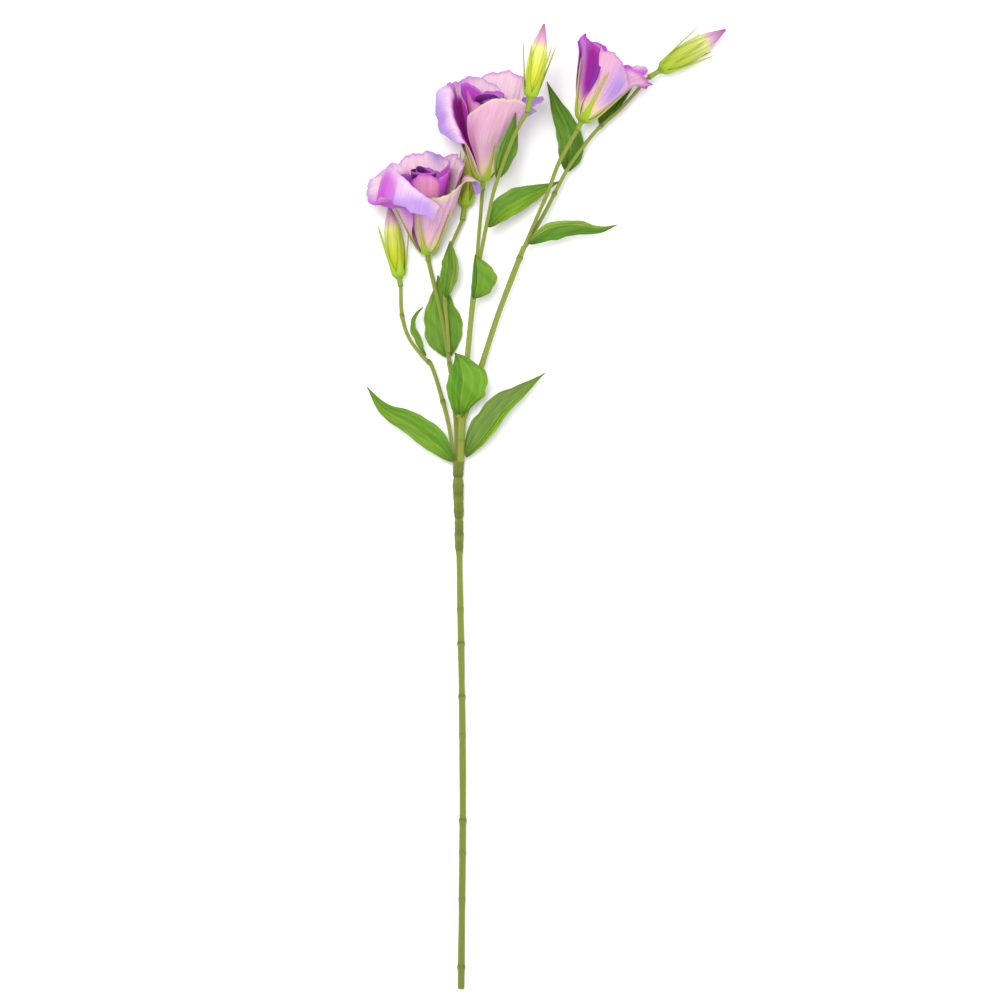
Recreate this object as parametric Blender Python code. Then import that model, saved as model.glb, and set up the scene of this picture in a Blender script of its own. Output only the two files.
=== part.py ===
"""A cut lisianthus spray lying on a surface: one jointed stem with its branches, leaves, buds and flowers.

+Z is up and the surface is z = 0. +Y runs from the cut end to the flowers. Every length below is in
millimetres, and every place is measured before MIDDLE moves the origin to the middle of the spray's box.
"""

import math
from collections import namedtuple

import bmesh
import bpy
from mathutils import Vector

MM = 0.001
UP = Vector((0, 0, 1))
MIDDLE = Vector((-1.2, -3.0, 0.0))
GAP = 0.3  # between pieces that touch

PETAL_THICKNESS = 0.6
LEAF_THICKNESS = 0.9
LEAF_TIP = 0.6  # half width that it has left at its two ends
PETAL_ROWS, PETAL_COLUMNS, PETAL_STEPS = 8, 6, 48
LEAF_ROWS = 8
STEM_SIDES = 8
STEM_SPAN = 9  # length of stem from one ring of points to the next
CUP_SIDES = 10
BUD_SIDES = 10
SEPAL_PROFILE = ((0.08, 0.55), (0.25, 0.9), (0.5, 0.9), (0.75, 0.8), (1, 0.4))  # share of length, taper

STEM_GREEN = (0.36, 0.40, 0.10)
LEAF_GREEN = (0.13, 0.30, 0.03)
CALYX_GREEN = (0.42, 0.52, 0.03)
BUD_GREEN = (0.66, 0.74, 0.16)
PETAL_PINK = (0.80, 0.50, 0.72)
PETAL_MAGENTA = (0.45, 0.08, 0.42)

# A stem runs through its points with a radius at its first and at its last one. Where it carries a flower or
# a bud, it ends at that one's foot, which isn't among the points.
Stem = namedtuple("Stem", "name points first_radius last_radius carries")
STEMS = (
    Stem("main_stem",
         ((-53.1, -300.0, 2.1), (-52.5, -245.2, 2.9), (-52.0, -183.1, 3.8), (-52.6, -114.8, 4.9),
          (-53.8, -49.6, 6.0), (-54.1, -27.6, 6.4)),
         2.1, 2.0, None),
    Stem("stem_sleeve",
         ((-54.2, -27.3, 6.4), (-54.4, -9.3, 6.6), (-54.8, 16.8, 7.0), (-54.6, 26.9, 6.8)),
         2.6, 3.5, None),
    Stem("centre_stem",
         ((-53.3, 27.3, 8.0), (-53.0, 40.3, 8.6), (-52.6, 54.0, 10.0)),
         2.4, 2.6, None),
    Stem("left_bud_branch",
         ((-58.0, 27.5, 7.2), (-59.9, 45.3, 6.6), (-64.3, 63.9, 6.4), (-71.1, 85.6, 7.0),
          (-76.6, 91.8, 7.6), (-85.3, 103.5, 8.4), (-89.7, 117.8, 9.2)),
         1.3, 1.2, "left_bud"),
    Stem("left_flower_branch",
         ((-55.6, 27.4, 3.6), (-56.2, 46.6, 3.2), (-57.8, 68.3, 4.2), (-60.5, 89.9, 6.0),
          (-63.9, 110.4, 6.4), (-68.0, 129.0, 5.8)),
         1.4, 1.3, "left_flower"),
    Stem("hidden_bud_branch",
         ((-60.6, 95.2, 9.0), (-61.7, 111.5, 10.0), (-63.0, 127.0, 10.2), (-62.7, 142.5, 9.6),
          (-59.3, 159.9, 8.0)),
         1.2, 1.1, "hidden_bud"),
    Stem("middle_branch",
         ((-54.4, 54.6, 11.4), (-52.1, 65.0, 13.0), (-49.9, 83.6, 14.0), (-47.8, 105.2, 15.0),
          (-45.6, 126.8, 16.0), (-43.4, 145.3, 17.0)),
         1.7, 1.8, None),
    Stem("middle_flower_branch",
         ((-43.6, 145.9, 15.8), (-42.2, 163.9, 15.5), (-41.0, 178.0, 16.0)),
         1.2, 1.2, "middle_flower"),
    Stem("top_bud_branch",
         ((-42.6, 146.0, 18.4), (-37.5, 170.9, 28.5), (-33.2, 190.9, 37.5), (-27.1, 209.0, 45.5),
          (-19.7, 227.0, 53.5)),
         1.2, 1.2, "top_bud"),
    Stem("right_branch",
         ((-51.0, 54.7, 7.8), (-45.6, 70.0, 9.5), (-38.8, 91.1, 11.0), (-30.8, 115.8, 13.0),
          (-22.7, 137.4, 15.0), (-14.1, 159.5, 17.0)),
         1.8, 1.8, None),
    Stem("right_flower_branch",
         ((-13.7, 160.0, 18.3), (-5.4, 179.2, 20.6), (0.8, 193.3, 22.8), (7.5, 211.2, 25.2)),
         1.2, 1.3, "right_flower"),
    Stem("right_bud_branch",
         ((-13.0, 160.2, 15.6), (-1.0, 181.3, 14.0), (8.2, 199.3, 13.5), (15.7, 212.3, 13.2),
          (30.5, 231.5, 13.0), (46.3, 245.8, 13.0)),
         1.3, 1.1, "right_bud"),
)

# A leaf has a midrib through its points. Its two halves, left and right, each have a width and fold up by so
# many degrees. It is widest at that share of its length, and its upper side looks the way of face.
Leaf = namedtuple("Leaf", "name points half_widths widest folds face")
LEAVES = (
    Leaf("lower_left_leaf",
         ((-57.6, 27.0, 9.8), (-71.0, 39.6, 12.5), (-86.5, 50.8, 14.0), (-101.4, 59.5, 11.0),
          (-111.3, 73.2, 8.0)),
         (6.2, 9.0), 0.34, (14, 20), (0.25, -0.2, 1.0)),
    Leaf("lower_right_leaf",
         ((-49.9, 29.6, 8.0), (-38.2, 43.4, 12.0), (-27.0, 58.2, 14.0), (-15.3, 68.7, 13.0),
          (-6.6, 76.8, 10.0), (-1.0, 81.8, 8.0)),
         (12.1, 5.4), 0.34, (4, 50), (-0.2, 0.2, 1.0)),
    Leaf("front_leaf",
         ((-53.5, 56.1, 14.1), (-53.0, 66.1, 20.0), (-51.7, 78.5, 22.0), (-53.6, 88.4, 20.0),
          (-56.7, 94.0, 17.0)),
         (11.0, 15.5), 0.5, (22, 8), (0.35, -0.1, 1.0)),
    Leaf("narrow_leaf",
         ((-74.8, 92.3, 9.2), (-79.0, 102.4, 12.4), (-82.5, 112.0, 13.4), (-79.6, 118.9, 13.6),
          (-76.4, 122.6, 13.0)),
         (2.0, 2.0), 0.5, (20, 20), (-0.9, 0.2, 0.7)),
    Leaf("oval_leaf",
         ((-60.9, 91.6, 3.9), (-63.6, 105.4, 2.0), (-65.5, 121.0, 2.0), (-66.1, 132.2, 2.2),
          (-67.4, 142.7, 2.4)),
         (11.6, 11.6), 0.36, (4, 4), (0.0, 0.0, 1.0)),
    Leaf("folded_leaf",
         ((-62.4, 128.6, 11.9), (-60.4, 139.2, 15.0), (-59.2, 150.3, 16.0), (-59.8, 163.4, 15.0)),
         (6.0, 6.0), 0.5, (38, 38), (-0.2, 0.0, 1.0)),
    Leaf("wing_leaf",
         ((-45.4, 127.7, 18.5), (-43.4, 135.9, 22.6), (-43.1, 145.1, 24.0), (-44.3, 154.5, 24.0)),
         (5.0, 11.5), 0.5, (60, 12), (0.2, 0.0, 1.0)),
    Leaf("long_leaf",
         ((-36.1, 171.3, 27.2), (-27.7, 181.3, 20.0), (-15.9, 188.8, 15.5), (-3.5, 195.0, 10.5),
          (8.3, 200.6, 9.0)),
         (8.6, 6.5), 0.36, (14, 30), (-0.1, -0.2, 1.0)),
    Leaf("outer_right_leaf",
         ((-11.4, 161.5, 19.7), (2.0, 169.5, 22.0), (17.4, 171.8, 23.0), (32.8, 170.4, 22.0),
          (43.4, 173.0, 21.0)),
         (7.0, 6.0), 0.36, (35, 25), (0.0, -0.6, 1.0)),
    Leaf("top_bud_leaf",
         ((-30.8, 200.1, 39.4), (-27.0, 213.0, 44.6), (-23.6, 224.0, 48.6), (-19.4, 240.0, 54.6)),
         (5.6, 7.5), 0.4, (2, 6), (0.5, -0.45, 0.8)),
    Leaf("pointed_leaf",
         ((12.6, 206.2, 11.2), (15.1, 220.1, 9.0), (12.6, 233.7, 9.0), (6.4, 247.2, 10.0),
          (0.2, 262.1, 10.0)),
         (8.0, 7.6), 0.27, (12, 12), (0.0, 0.0, 1.0)),
    Leaf("under_flower_leaf",
         ((33.4, 234.3, 11.0), (37.4, 241.8, 8.0), (44.3, 250.5, 5.0), (55.4, 263.6, 4.0)),
         (6.0, 3.6), 0.4, (15, 15), (0.0, 0.0, 1.0)),
)

# A flower or a bud stands on base, leans from +Y towards +X and tilts up from the surface. Its calyx has a
# sleeve on the stem, and a first sepal at the azimuth sepals_from. Azimuths turn about its axis: 0 faces up,
# 90 faces +X.
Stand = namedtuple("Stand", "base lean tilt sleeve sepals_from")
# A petal starts at an azimuth and turns on the way up, and its halves each have a width. Each triple holds for
# its left edge, middle and right edge: how long it is, where its lip starts, how far the lip turns outward, and
# how much more it leans out than the rest. The lower corners is, the sooner its rim slopes to its side edges.
Petal = namedtuple("Petal", "azimuth turn half_widths lengths lip_starts lips leans corners",
                   defaults=((0, 0, 0), 2.4))
FLOWERS = {
    "left_flower": (
        Stand((-73.6, 156.0, 7.0), -3, 28, 5, -15),
        (
            Petal(337, -8, (14.5, 20), (90, 81, 53), (60, 58, 38), (134, 134, 122), (-7, -6, 0), 1.2),
            Petal(36, 14, (21, 21), (36, 51, 70), (40, 46, 50), (4, 8, 140), (-5, -1, 0), 1.2),
            Petal(108, 19, (19, 19), (54, 60, 54), (42, 42, 40), (0, 6, 20), (-3, -1, 1)),
            Petal(180, 3, (20, 20), (55, 59, 54), (42, 42, 35), (6, 18, 46)),
            Petal(254, 3, (20, 24), (56, 61, 49), (44, 42, 37), (58, 92, 84), (0, 0, -4)),
        ),
        (
            Petal(5, 0, (14, 14), (45, 57, 44), (35, 35, 35), (-13, -13, -7), (0, 0, 0), 1.6),
            Petal(95, 0, (14, 14), (48, 56, 48), (35, 35, 35), (-10, -6, -4), (-1, 2, 4)),
            Petal(175, -12, (14, 14), (46, 50, 44), (35, 35, 35), (-8, -8, -5), (-1, 0, 1)),
            Petal(262, 0, (14, 14), (44, 50, 48), (35, 35, 35), (-8, -8, -5), (1, 1, 1)),
        ),
    ),
    "middle_flower": (
        Stand((-39.4, 200.5, 18.0), 3, 20, 6, 20),
        (
            Petal(312, -53, (13, 9), (58, 62, 33), (56, 46, 24), (60, 112, 116), (0, -3, 0), 1.8),
            Petal(6, 20, (22, 22), (42, 63, 58), (44, 48, 40), (0, 2, 30), (-4, 0, 0)),
            Petal(78, 14, (20, 20), (46, 62, 60), (44, 46, 44), (20, 52, 45), (0, 0, 0), 1.8),
            Petal(150, 6, (20, 20), (60, 66, 60), (48, 48, 46), (2, 8, 20)),
            Petal(228, -22, (20, 20), (54, 61, 56), (46, 46, 46), (4, 12, 28)),
        ),
        (
            Petal(325, 0, (11, 11), (56, 51, 44), (35, 35, 35), (-8, -8, -4)),
            Petal(68, 0, (14, 14), (46, 51, 46), (35, 35, 35), (-8, -8, -4), (1, 1, 1)),
            Petal(158, 0, (14, 14), (47, 52, 46), (35, 35, 35), (-8, -8, -5), (1, 1, 1)),
            Petal(248, 0, (14, 14), (50, 56, 48), (35, 35, 35), (-8, -8, -5), (1, 1, 1)),
        ),
    ),
    "right_flower": (
        Stand((21.3, 236.4, 27.3), 27, 3, 6, 5),
        (
            Petal(5, -8, (16, 16), (48, 47, 35), (36, 36, 32), (6, 10, 22)),
            Petal(77, 0, (17, 17), (42, 46, 46), (30, 30, 32), (10, 40, 52)),
            Petal(149, 0, (17, 17), (46, 52, 48), (34, 34, 34), (8, 30, 42)),
            Petal(221, 0, (17, 17), (46, 50, 46), (34, 34, 34), (4, 10, 24)),
            Petal(293, 0, (17, 17), (46, 50, 46), (34, 34, 34), (3, 4, 14)),
        ),
        (),
    ),
}
BUDS = {
    "left_bud": Stand((-91.2, 140.4, 10.2), -8, 0, 5, 20),
    "hidden_bud": Stand((-51.0, 184.6, 6.8), 9, 0, 8, 0),
    "top_bud": Stand((-10.5, 248.4, 61.0), 10.7, 8, 9, -30),
    "right_bud": Stand((70.0, 268.9, 13.0), 58, 0, 8, 0),
}
BUD_SPREAD = {"left_bud": 12, "hidden_bud": 7, "top_bud": 12, "right_bud": 12}  # tilt of its sepals
CONE = 22  # half angle of the cone on which the outer petals rise
OUTER_START = (3.2, 2.6)  # radius and height where the outer petals begin
INNER_START = (1.7, 3.6)
INNER_CONE = 13
BASE_ROUNDING = 30  # extra angle at which a petal leaves its base
BASE_ROUND_LENGTH = 10
LEAN_LENGTH = 12  # length over which a petal takes its own lean
SPIRAL_LENGTH = 22
WIDENING_LENGTH = 43  # length at the most over which a petal reaches its full width
LIP_BEND = 11  # length of petal over which the lip turns
OUTER_SPIRAL = (0.5, 1.5)  # how far an edge lies in or out of the next petal, at the base and higher up
INNER_SPIRAL = (0.3, 1.0)
HEART = ((6.4, 1.4), (14, 3.0), (26, 4.6), (37, 5.4), (44, 3.6))  # height and radius

BUD_LENGTH = 46
BUD_RADIUS = 6.2
BUD_OUTLINE = ((0, 0.42), (0.10, 0.72), (0.25, 0.92), (0.42, 1.0), (0.6, 0.92), (0.76, 0.66), (0.9, 0.32),
               (1, 0.10))  # share of the length, share of the radius
BUD_CUP = (4.2, 3.2)  # radius and height of the rim
FLOWER_CUP = (6.2, 3.6)
SEPAL_LENGTH = 29
FLOWER_SEPALS = {"left_flower": 36, "middle_flower": 28, "right_flower": 36}  # length from the base of a petal
SEPAL_CLEARANCE = 2.3  # from the middle of a petal
SLEEVE_RADIUS = 1.6
POST = (1.1, 5.8)  # radius and top of the post in a flower's cup that holds the petals


def smoothstep(t):
    t = min(max(t, 0.0), 1.0)
    return t * t * (3 - 2 * t)


def lerp(a, b, t):
    return a + (b - a) * t


def through(values, t):
    """The parabola through three values at t = -1, 0 and 1."""
    left, middle, right = values
    return middle + (right - left) / 2 * t + ((left + right) / 2 - middle) * t * t


def smooth_path(points, spans):
    """spans + 1 evenly spaced points on a smooth curve through the given ones."""
    knots = [Vector(p) for p in points]
    knots = [2 * knots[0] - knots[1], *knots, 2 * knots[-1] - knots[-2]]
    fine = []
    for i in range(1, len(knots) - 2):
        before, start, end, after = knots[i - 1:i + 3]
        for step in range(16):
            t = step / 16
            fine.append(0.5 * (2 * start + (end - before) * t
                               + (2 * before - 5 * start + 4 * end - after) * t ** 2
                               + (3 * start - before - 3 * end + after) * t ** 3))
    fine.append(knots[-2])
    lengths = [0.0]
    for a, b in zip(fine, fine[1:]):
        lengths.append(lengths[-1] + (b - a).length)
    path, i = [], 0
    for step in range(spans + 1):
        wanted = lengths[-1] * step / spans
        while i < len(fine) - 2 and lengths[i + 1] < wanted:
            i += 1
        share = (wanted - lengths[i]) / (lengths[i + 1] - lengths[i])
        path.append(fine[i].lerp(fine[i + 1], share))
    return path


def tangents(path):
    last = len(path) - 1
    return [(path[min(i + 1, last)] - path[max(i - 1, 0)]).normalized() for i in range(last + 1)]


def axes_of(stand):
    """The axis of a flower or bud, its front, which faces up, and its right."""
    lean, tilt = math.radians(stand.lean), math.radians(stand.tilt)
    axis = Vector((math.sin(lean) * math.cos(tilt), math.cos(lean) * math.cos(tilt), math.sin(tilt)))
    front = (UP - axis * axis.z).normalized()
    return axis, front, axis.cross(front)


def in_stand(stand, radius, height, azimuth):
    """The point at that radius, height and azimuth (radians) about the axis of a flower or bud."""
    axis, front, right = axes_of(stand)
    outward = front * math.cos(azimuth) + right * math.sin(azimuth)
    return Vector(stand.base) + axis * height + outward * radius


def turned_ring(stand, radius, height, sides, first=0.0):
    return [in_stand(stand, radius, height, first + 2 * math.pi * k / sides) for k in range(sides)]


def make_object(name, points, faces, material):
    mesh = bpy.data.meshes.new(name)
    mesh.from_pydata([(p - MIDDLE) * MM for p in points], [], faces)
    mesh.materials.append(material)
    shape = bmesh.new()
    shape.from_mesh(mesh)
    bmesh.ops.recalc_face_normals(shape, faces=shape.faces)
    shape.to_mesh(mesh)
    shape.free()
    mesh.shade_smooth()
    mesh.set_sharp_from_angle(angle=math.radians(50))
    bpy.context.scene.collection.objects.link(bpy.data.objects.new(name, mesh))


def loft(name, rings, material):
    """A closed solid through rings of equally many points, with a flat cap at each end."""
    sides = len(rings[0])
    points = [p for ring in rings for p in ring]
    faces = [list(range(sides)), list(range(len(points) - sides, len(points)))]
    for i in range(len(rings) - 1):
        for j in range(sides):
            k = (j + 1) % sides
            faces.append((i * sides + j, i * sides + k, (i + 1) * sides + k, (i + 1) * sides + j))
    make_object(name, points, faces, material)


def solid_sheet(name, grid, thickness, material):
    """A closed solid of that thickness about a grid of points."""
    rows, columns = len(grid), len(grid[0])
    points, faces = [], []
    for side in (0.5, -0.5):
        for i in range(rows):
            for j in range(columns):
                along = grid[min(i + 1, rows - 1)][j] - grid[max(i - 1, 0)][j]
                across = grid[i][min(j + 1, columns - 1)] - grid[i][max(j - 1, 0)]
                points.append(grid[i][j] + along.cross(across).normalized() * thickness * side)
    back = rows * columns
    for i in range(rows - 1):
        for j in range(columns - 1):
            a, b = i * columns + j, (i + 1) * columns + j
            faces.append((a, a + 1, b + 1, b))
            faces.append((back + a, back + b, back + b + 1, back + a + 1))
    rim = list(range(columns))
    rim += [i * columns + columns - 1 for i in range(1, rows)]
    rim += [(rows - 1) * columns + j for j in range(columns - 2, -1, -1)]
    rim += [i * columns for i in range(rows - 2, 0, -1)]
    for a, b in zip(rim, rim[1:] + rim[:1]):
        faces.append((a, b, back + b, back + a))
    make_object(name, points, faces, material)


def stem(piece, material):
    points, stand = piece.points, STANDS.get(piece.carries)
    if stand:
        points += (in_stand(stand, 0, -stand.sleeve - GAP, 0),)
    length = sum((Vector(a) - Vector(b)).length for a, b in zip(points, points[1:]))
    path = smooth_path(points, max(4, min(14, round(length / STEM_SPAN))))
    headings = tangents(path)
    if stand:
        headings[-1] = axes_of(stand)[0]
    rings, side = [], headings[0].orthogonal()
    for i, (point, heading) in enumerate(zip(path, headings)):
        side = (side - heading * side.dot(heading)).normalized()
        other = heading.cross(side)
        radius = lerp(piece.first_radius, piece.last_radius, i / (len(path) - 1))
        turns = [2 * math.pi * k / STEM_SIDES for k in range(STEM_SIDES)]
        rings.append([point + (side * math.cos(a) + other * math.sin(a)) * radius for a in turns])
    loft(piece.name, rings, material)


def leaf(piece, material):
    path = smooth_path(piece.points, LEAF_ROWS)
    grid = []
    for i, (point, heading) in enumerate(zip(path, tangents(path))):
        share = i / LEAF_ROWS
        if share < piece.widest:
            swell = math.sin(share / piece.widest * math.pi / 2) ** 0.7
        else:
            swell = math.sin((1 - share) / (1 - piece.widest) * math.pi / 2) ** 1.3
        side = heading.cross(Vector(piece.face)).normalized()
        normal = side.cross(heading)
        row = []
        for across in (-1, -0.5, 0, 0.5, 1):
            half = int(across > 0)
            width = across * (LEAF_TIP + piece.half_widths[half] * swell)
            fold = math.radians(piece.folds[half]) * (1 - 0.3 * abs(across))
            row.append(point + side * width * math.cos(fold) + normal * abs(width) * math.sin(fold))
        grid.append(row)
    solid_sheet(piece.name, grid, LEAF_THICKNESS, material)


def petal_line(u, start, cone, lengths, lip_starts, lips, leans=(0, 0, 0), corners=2.4):
    """Length so far, radius, height and heading (radians) at each step up a petal from its base to its rim,
    along a line at u across it, where u runs from -1 at its left edge to 1 at its right edge."""
    left, middle, right = lengths
    length = middle + ((left if u < 0 else right) - middle) * abs(u) ** corners
    radius, height = start
    line = []
    for k in range(PETAL_STEPS + 1):
        along = length * k / PETAL_STEPS
        rounding = BASE_ROUNDING * max(0, 1 - along / BASE_ROUND_LENGTH) ** 2
        lean = through(leans, u) * smoothstep(along / LEAN_LENGTH)
        turned = smoothstep((along - through(lip_starts, u)) / LIP_BEND)
        heading = math.radians(cone + lean + rounding + through(lips, u) * turned)
        line.append((along, radius, height, heading))
        radius += math.sin(heading) * length / PETAL_STEPS
        height += math.cos(heading) * length / PETAL_STEPS
    return line


def petal(name, stand, shape, start, cone, spiral, material):
    """A petal that leaves its base on a rounded cone and turns its lip outward."""
    tall = shape.lengths[1]
    columns = []
    for j in range(PETAL_COLUMNS + 1):
        u = 2 * j / PETAL_COLUMNS - 1
        half_width = shape.half_widths[0 if u < 0 else 1]
        column = []
        for along, radius, height, heading in petal_line(u, start, cone, *shape[3:]):
            offset = u * lerp(*spiral, smoothstep(along / SPIRAL_LENGTH))
            width = lerp(0.56 * start[0], half_width, smoothstep(along / min(0.72 * tall, WIDENING_LENGTH)))
            azimuth = math.radians(shape.azimuth + shape.turn * smoothstep(along / tall)) + u * width / radius
            radius += offset * math.cos(heading)
            height -= offset * math.sin(heading)
            column.append(in_stand(stand, radius, height, azimuth))
        columns.append(column)
    rows = [round(PETAL_STEPS * i / PETAL_ROWS) for i in range(PETAL_ROWS + 1)]
    grid = [[column[k] for column in columns] for k in rows]
    solid_sheet(name, grid, PETAL_THICKNESS, material)


def heart(name, stand, material):
    """The furled petals in the middle of a flower."""
    loft(name, [turned_ring(stand, radius, height, BUD_SIDES) for height, radius in HEART], material)


def bud(name, stand, material):
    """Five petals furled round each other into a spindle."""
    rings = []
    for share, size in BUD_OUTLINE:
        ring = []
        for k in range(BUD_SIDES):
            ridge = 1.0 if k % 2 else 0.9
            turn = 2 * math.pi * k / BUD_SIDES + 0.9 * share
            ring.append(in_stand(stand, BUD_RADIUS * size * ridge, lerp(2.2, BUD_LENGTH, share), turn))
        rings.append(ring)
    loft(name, rings, material)


def flower_sepal(length):
    """Radius and height along a sepal that lies on the outside of the petals."""
    path = []
    lengths = (length, length, length)
    for along, radius, height, heading in petal_line(0, OUTER_START, CONE, lengths, lengths, (0, 0, 0)):
        radius += SEPAL_CLEARANCE * math.cos(heading)
        height -= SEPAL_CLEARANCE * math.sin(heading)
        if height > FLOWER_CUP[1]:
            path.append((radius, height))
    return [path[min(round(share * len(path)), len(path) - 1)] for share, taper in SEPAL_PROFILE]


def bud_sepal(spread):
    along = [SEPAL_LENGTH * share for share, taper in SEPAL_PROFILE]
    tilt = math.radians(spread)
    return [(BUD_CUP[0] + s * math.sin(tilt), BUD_CUP[1] + s * math.cos(tilt)) for s in along]


def calyx(name, stand, cup, post, sepal, material):
    """A cup on a short sleeve, with a post in it and five needle sepals drawn out of its rim."""
    rim_radius, rim_height = cup
    outline = ((SLEEVE_RADIUS, -stand.sleeve), (SLEEVE_RADIUS, -1.0), (0.7 * rim_radius, 0.8), cup,
               (rim_radius - 0.6, rim_height), (0.7 * rim_radius - 0.3, 1.9), (post[0] + 0.1, 1.9), post)
    first = math.radians(stand.sepals_from)
    shape = bmesh.new()
    rings = []
    for radius, height in outline:
        ring = turned_ring(stand, radius, height, CUP_SIDES, first - math.pi / CUP_SIDES)
        rings.append([shape.verts.new(p) for p in ring])
    for ring, above in zip(rings, rings[1:]):
        for k in range(CUP_SIDES):
            following = (k + 1) % CUP_SIDES
            shape.faces.new((ring[k], ring[following], above[following], above[k]))
    shape.faces.new(rings[0])
    shape.faces.new(rings[-1])
    rim_top = list(shape.faces)[3 * CUP_SIDES:4 * CUP_SIDES:2]
    for k, face in enumerate(rim_top):
        azimuth = first + 2 * math.pi * k / len(rim_top)
        for (radius, height), (share, taper) in zip(sepal, SEPAL_PROFILE):
            face = bmesh.ops.extrude_discrete_faces(shape, faces=[face])["faces"][0]
            old, new = face.calc_center_median(), in_stand(stand, radius, height, azimuth)
            for vert in face.verts:
                vert.co = new + (vert.co - old) * taper
    shape.verts.index_update()
    points = [vert.co.copy() for vert in shape.verts]
    faces = [[vert.index for vert in face.verts] for face in shape.faces]
    shape.free()
    make_object(name, points, faces, material)


def principled(name, colour, roughness):
    material = bpy.data.materials.new(name)
    material.use_nodes = True
    shader = material.node_tree.nodes["Principled BSDF"]
    shader.inputs["Base Color"].default_value = (*colour, 1)
    shader.inputs["Roughness"].default_value = roughness
    material.diffuse_color = (*colour, 1)
    return material


def flower(name, stand, outer, inner, petal_material, inner_material, calyx_material):
    for i, shape in enumerate(outer, 1):
        petal(f"{name}_outer_petal_{i}", stand, shape, OUTER_START, CONE, OUTER_SPIRAL, petal_material)
    for i, shape in enumerate(inner, 1):
        petal(f"{name}_inner_petal_{i}", stand, shape, INNER_START, INNER_CONE, INNER_SPIRAL, inner_material)
    if inner:
        heart(f"{name}_heart", stand, inner_material)
    calyx(f"{name}_calyx", stand, FLOWER_CUP, POST, flower_sepal(FLOWER_SEPALS[name]), calyx_material)


STANDS = {name: parts[0] for name, parts in FLOWERS.items()} | BUDS


def build():
    for obj in list(bpy.data.objects):
        bpy.data.objects.remove(obj)
    stem_material = principled("stem", STEM_GREEN, 0.55)
    leaf_material = principled("leaf", LEAF_GREEN, 0.6)
    calyx_material = principled("calyx", CALYX_GREEN, 0.5)
    bud_material = principled("bud", BUD_GREEN, 0.6)
    petal_material = principled("petal", PETAL_PINK, 0.7)
    inner_material = principled("inner_petal", PETAL_MAGENTA, 0.7)
    for piece in STEMS:
        stem(piece, stem_material)
    for piece in LEAVES:
        leaf(piece, leaf_material)
    for name, (stand, outer, inner) in FLOWERS.items():
        flower(name, stand, outer, inner, petal_material, inner_material, calyx_material)
    for name, stand in BUDS.items():
        bud(name, stand, bud_material)
        sepal = bud_sepal(BUD_SPREAD[name])
        calyx(f"{name}_calyx", stand, BUD_CUP, (1.1, 2.0), sepal, calyx_material)


build()
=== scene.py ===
"""The looks of the cut lisianthus spray: a fine piece with its own colours in place of each CAD node.

Lengths are in millimetres until make_piece turns them into metres, and places are measured before MIDDLE
moves the origin to the middle of the spray's box, both as in the CAD source, whose tables are repeated here.
"""

import math
from collections import namedtuple

import bpy
import numpy as np
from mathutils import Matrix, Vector


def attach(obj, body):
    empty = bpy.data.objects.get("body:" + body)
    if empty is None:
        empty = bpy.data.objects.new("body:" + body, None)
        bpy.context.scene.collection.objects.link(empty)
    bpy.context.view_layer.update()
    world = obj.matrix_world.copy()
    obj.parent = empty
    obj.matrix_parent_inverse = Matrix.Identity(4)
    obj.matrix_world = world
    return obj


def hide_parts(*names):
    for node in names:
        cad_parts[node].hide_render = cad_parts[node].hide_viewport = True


MM = 0.001
UP = Vector((0, 0, 1))
MIDDLE = Vector((-1.2, -3.0, 0.0))

PATH_STEPS = 16  # between two given points of a path
SHARP_ANGLE = 60  # between faces that don't shade as one
PETAL_ROWS, PETAL_COLUMNS = 64, 48
PETAL_THICKNESS = 0.45
LEAF_ROWS, LEAF_COLUMNS = 60, 28
LEAF_THICKNESS = 0.6
LEAF_TIP = 0.4
EDGE_WAVE = 0.06  # of its half width, how uneven a leaf's outline is
STEM_STEP, STEM_SIDES = 0.9, 20
FOOT_GAP = 0.1  # from a stem's last point to the foot of what it carries
JOINT_GAP = 0.4  # left between the CAD stems, closed here
STEM_RIBS = 4
RING_WIDTH = 1.5
SHADOW_PLACE, SHADOW_WIDTH = 1.0, 0.7  # of the dark line past a ring
HEART_ROWS, HEART_COLUMNS = 32, 120
BUD_ROWS, BUD_COLUMNS = 72, 100
CUP_SIDES = 50
SEPAL_ROWS, SEPAL_COLUMNS = 28, 6
SEPAL_SHARES = (0, 0.12, 0.3, 0.6, 0.85, 1)  # of its length
SEPAL_HALF_WIDTHS = (3.4, 2.3, 1.1, 0.72, 0.55, 0.15)
SEPAL_THICKNESS = 0.55
SEPAL_RIM = 0.5
SEPAL_KEEL = 0.35

# The scene: places and sizes in metres, the lens in millimetres, the lamps in watts
CAMERA_PLACE = (-0.0277, 0.0061, 3.452)
CAMERA_LENS, CAMERA_SENSOR = 200, 36
FLOOR_HALF = 4
FLOOR_GREY = 0.92
WORLD_LIGHT = 0.85
KEY_PLACE, KEY_SIZE, KEY_POWER = (-0.5, 0.75, 3.8), 1.4, 112
FILL_PLACE, FILL_SIZE, FILL_POWER = (1.5, -0.6, 2.0), 1.8, 12

# Rings round a stem: how far along it, and how far each stands out or, below 0, goes in
RINGS = {
    "main_stem": ((13, 0.45), (55, 0.2), (84, 0.2), (104, 0.5), (157, 0.15), (181, 0.5), (214, 0.5),
                  (235, 0.25), (271, 0.4)),
    "stem_sleeve": ((18.6, -0.4), (44, -0.4)),
    "centre_stem": ((12, 0.3),),
    "left_bud_branch": ((37, 0.5), (63, 0.5), (97, 0.4)),
    "left_flower_branch": ((60, 0.3),),
    "hidden_bud_branch": ((30, 0.3),),
    "middle_branch": ((28, 0.25), (88, 0.45)),
    "right_branch": ((104, 0.4),),
    "right_bud_branch": ((37, 0.5), (88, 0.5)),
    "right_flower_branch": ((30, 0.2),),
}
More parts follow.
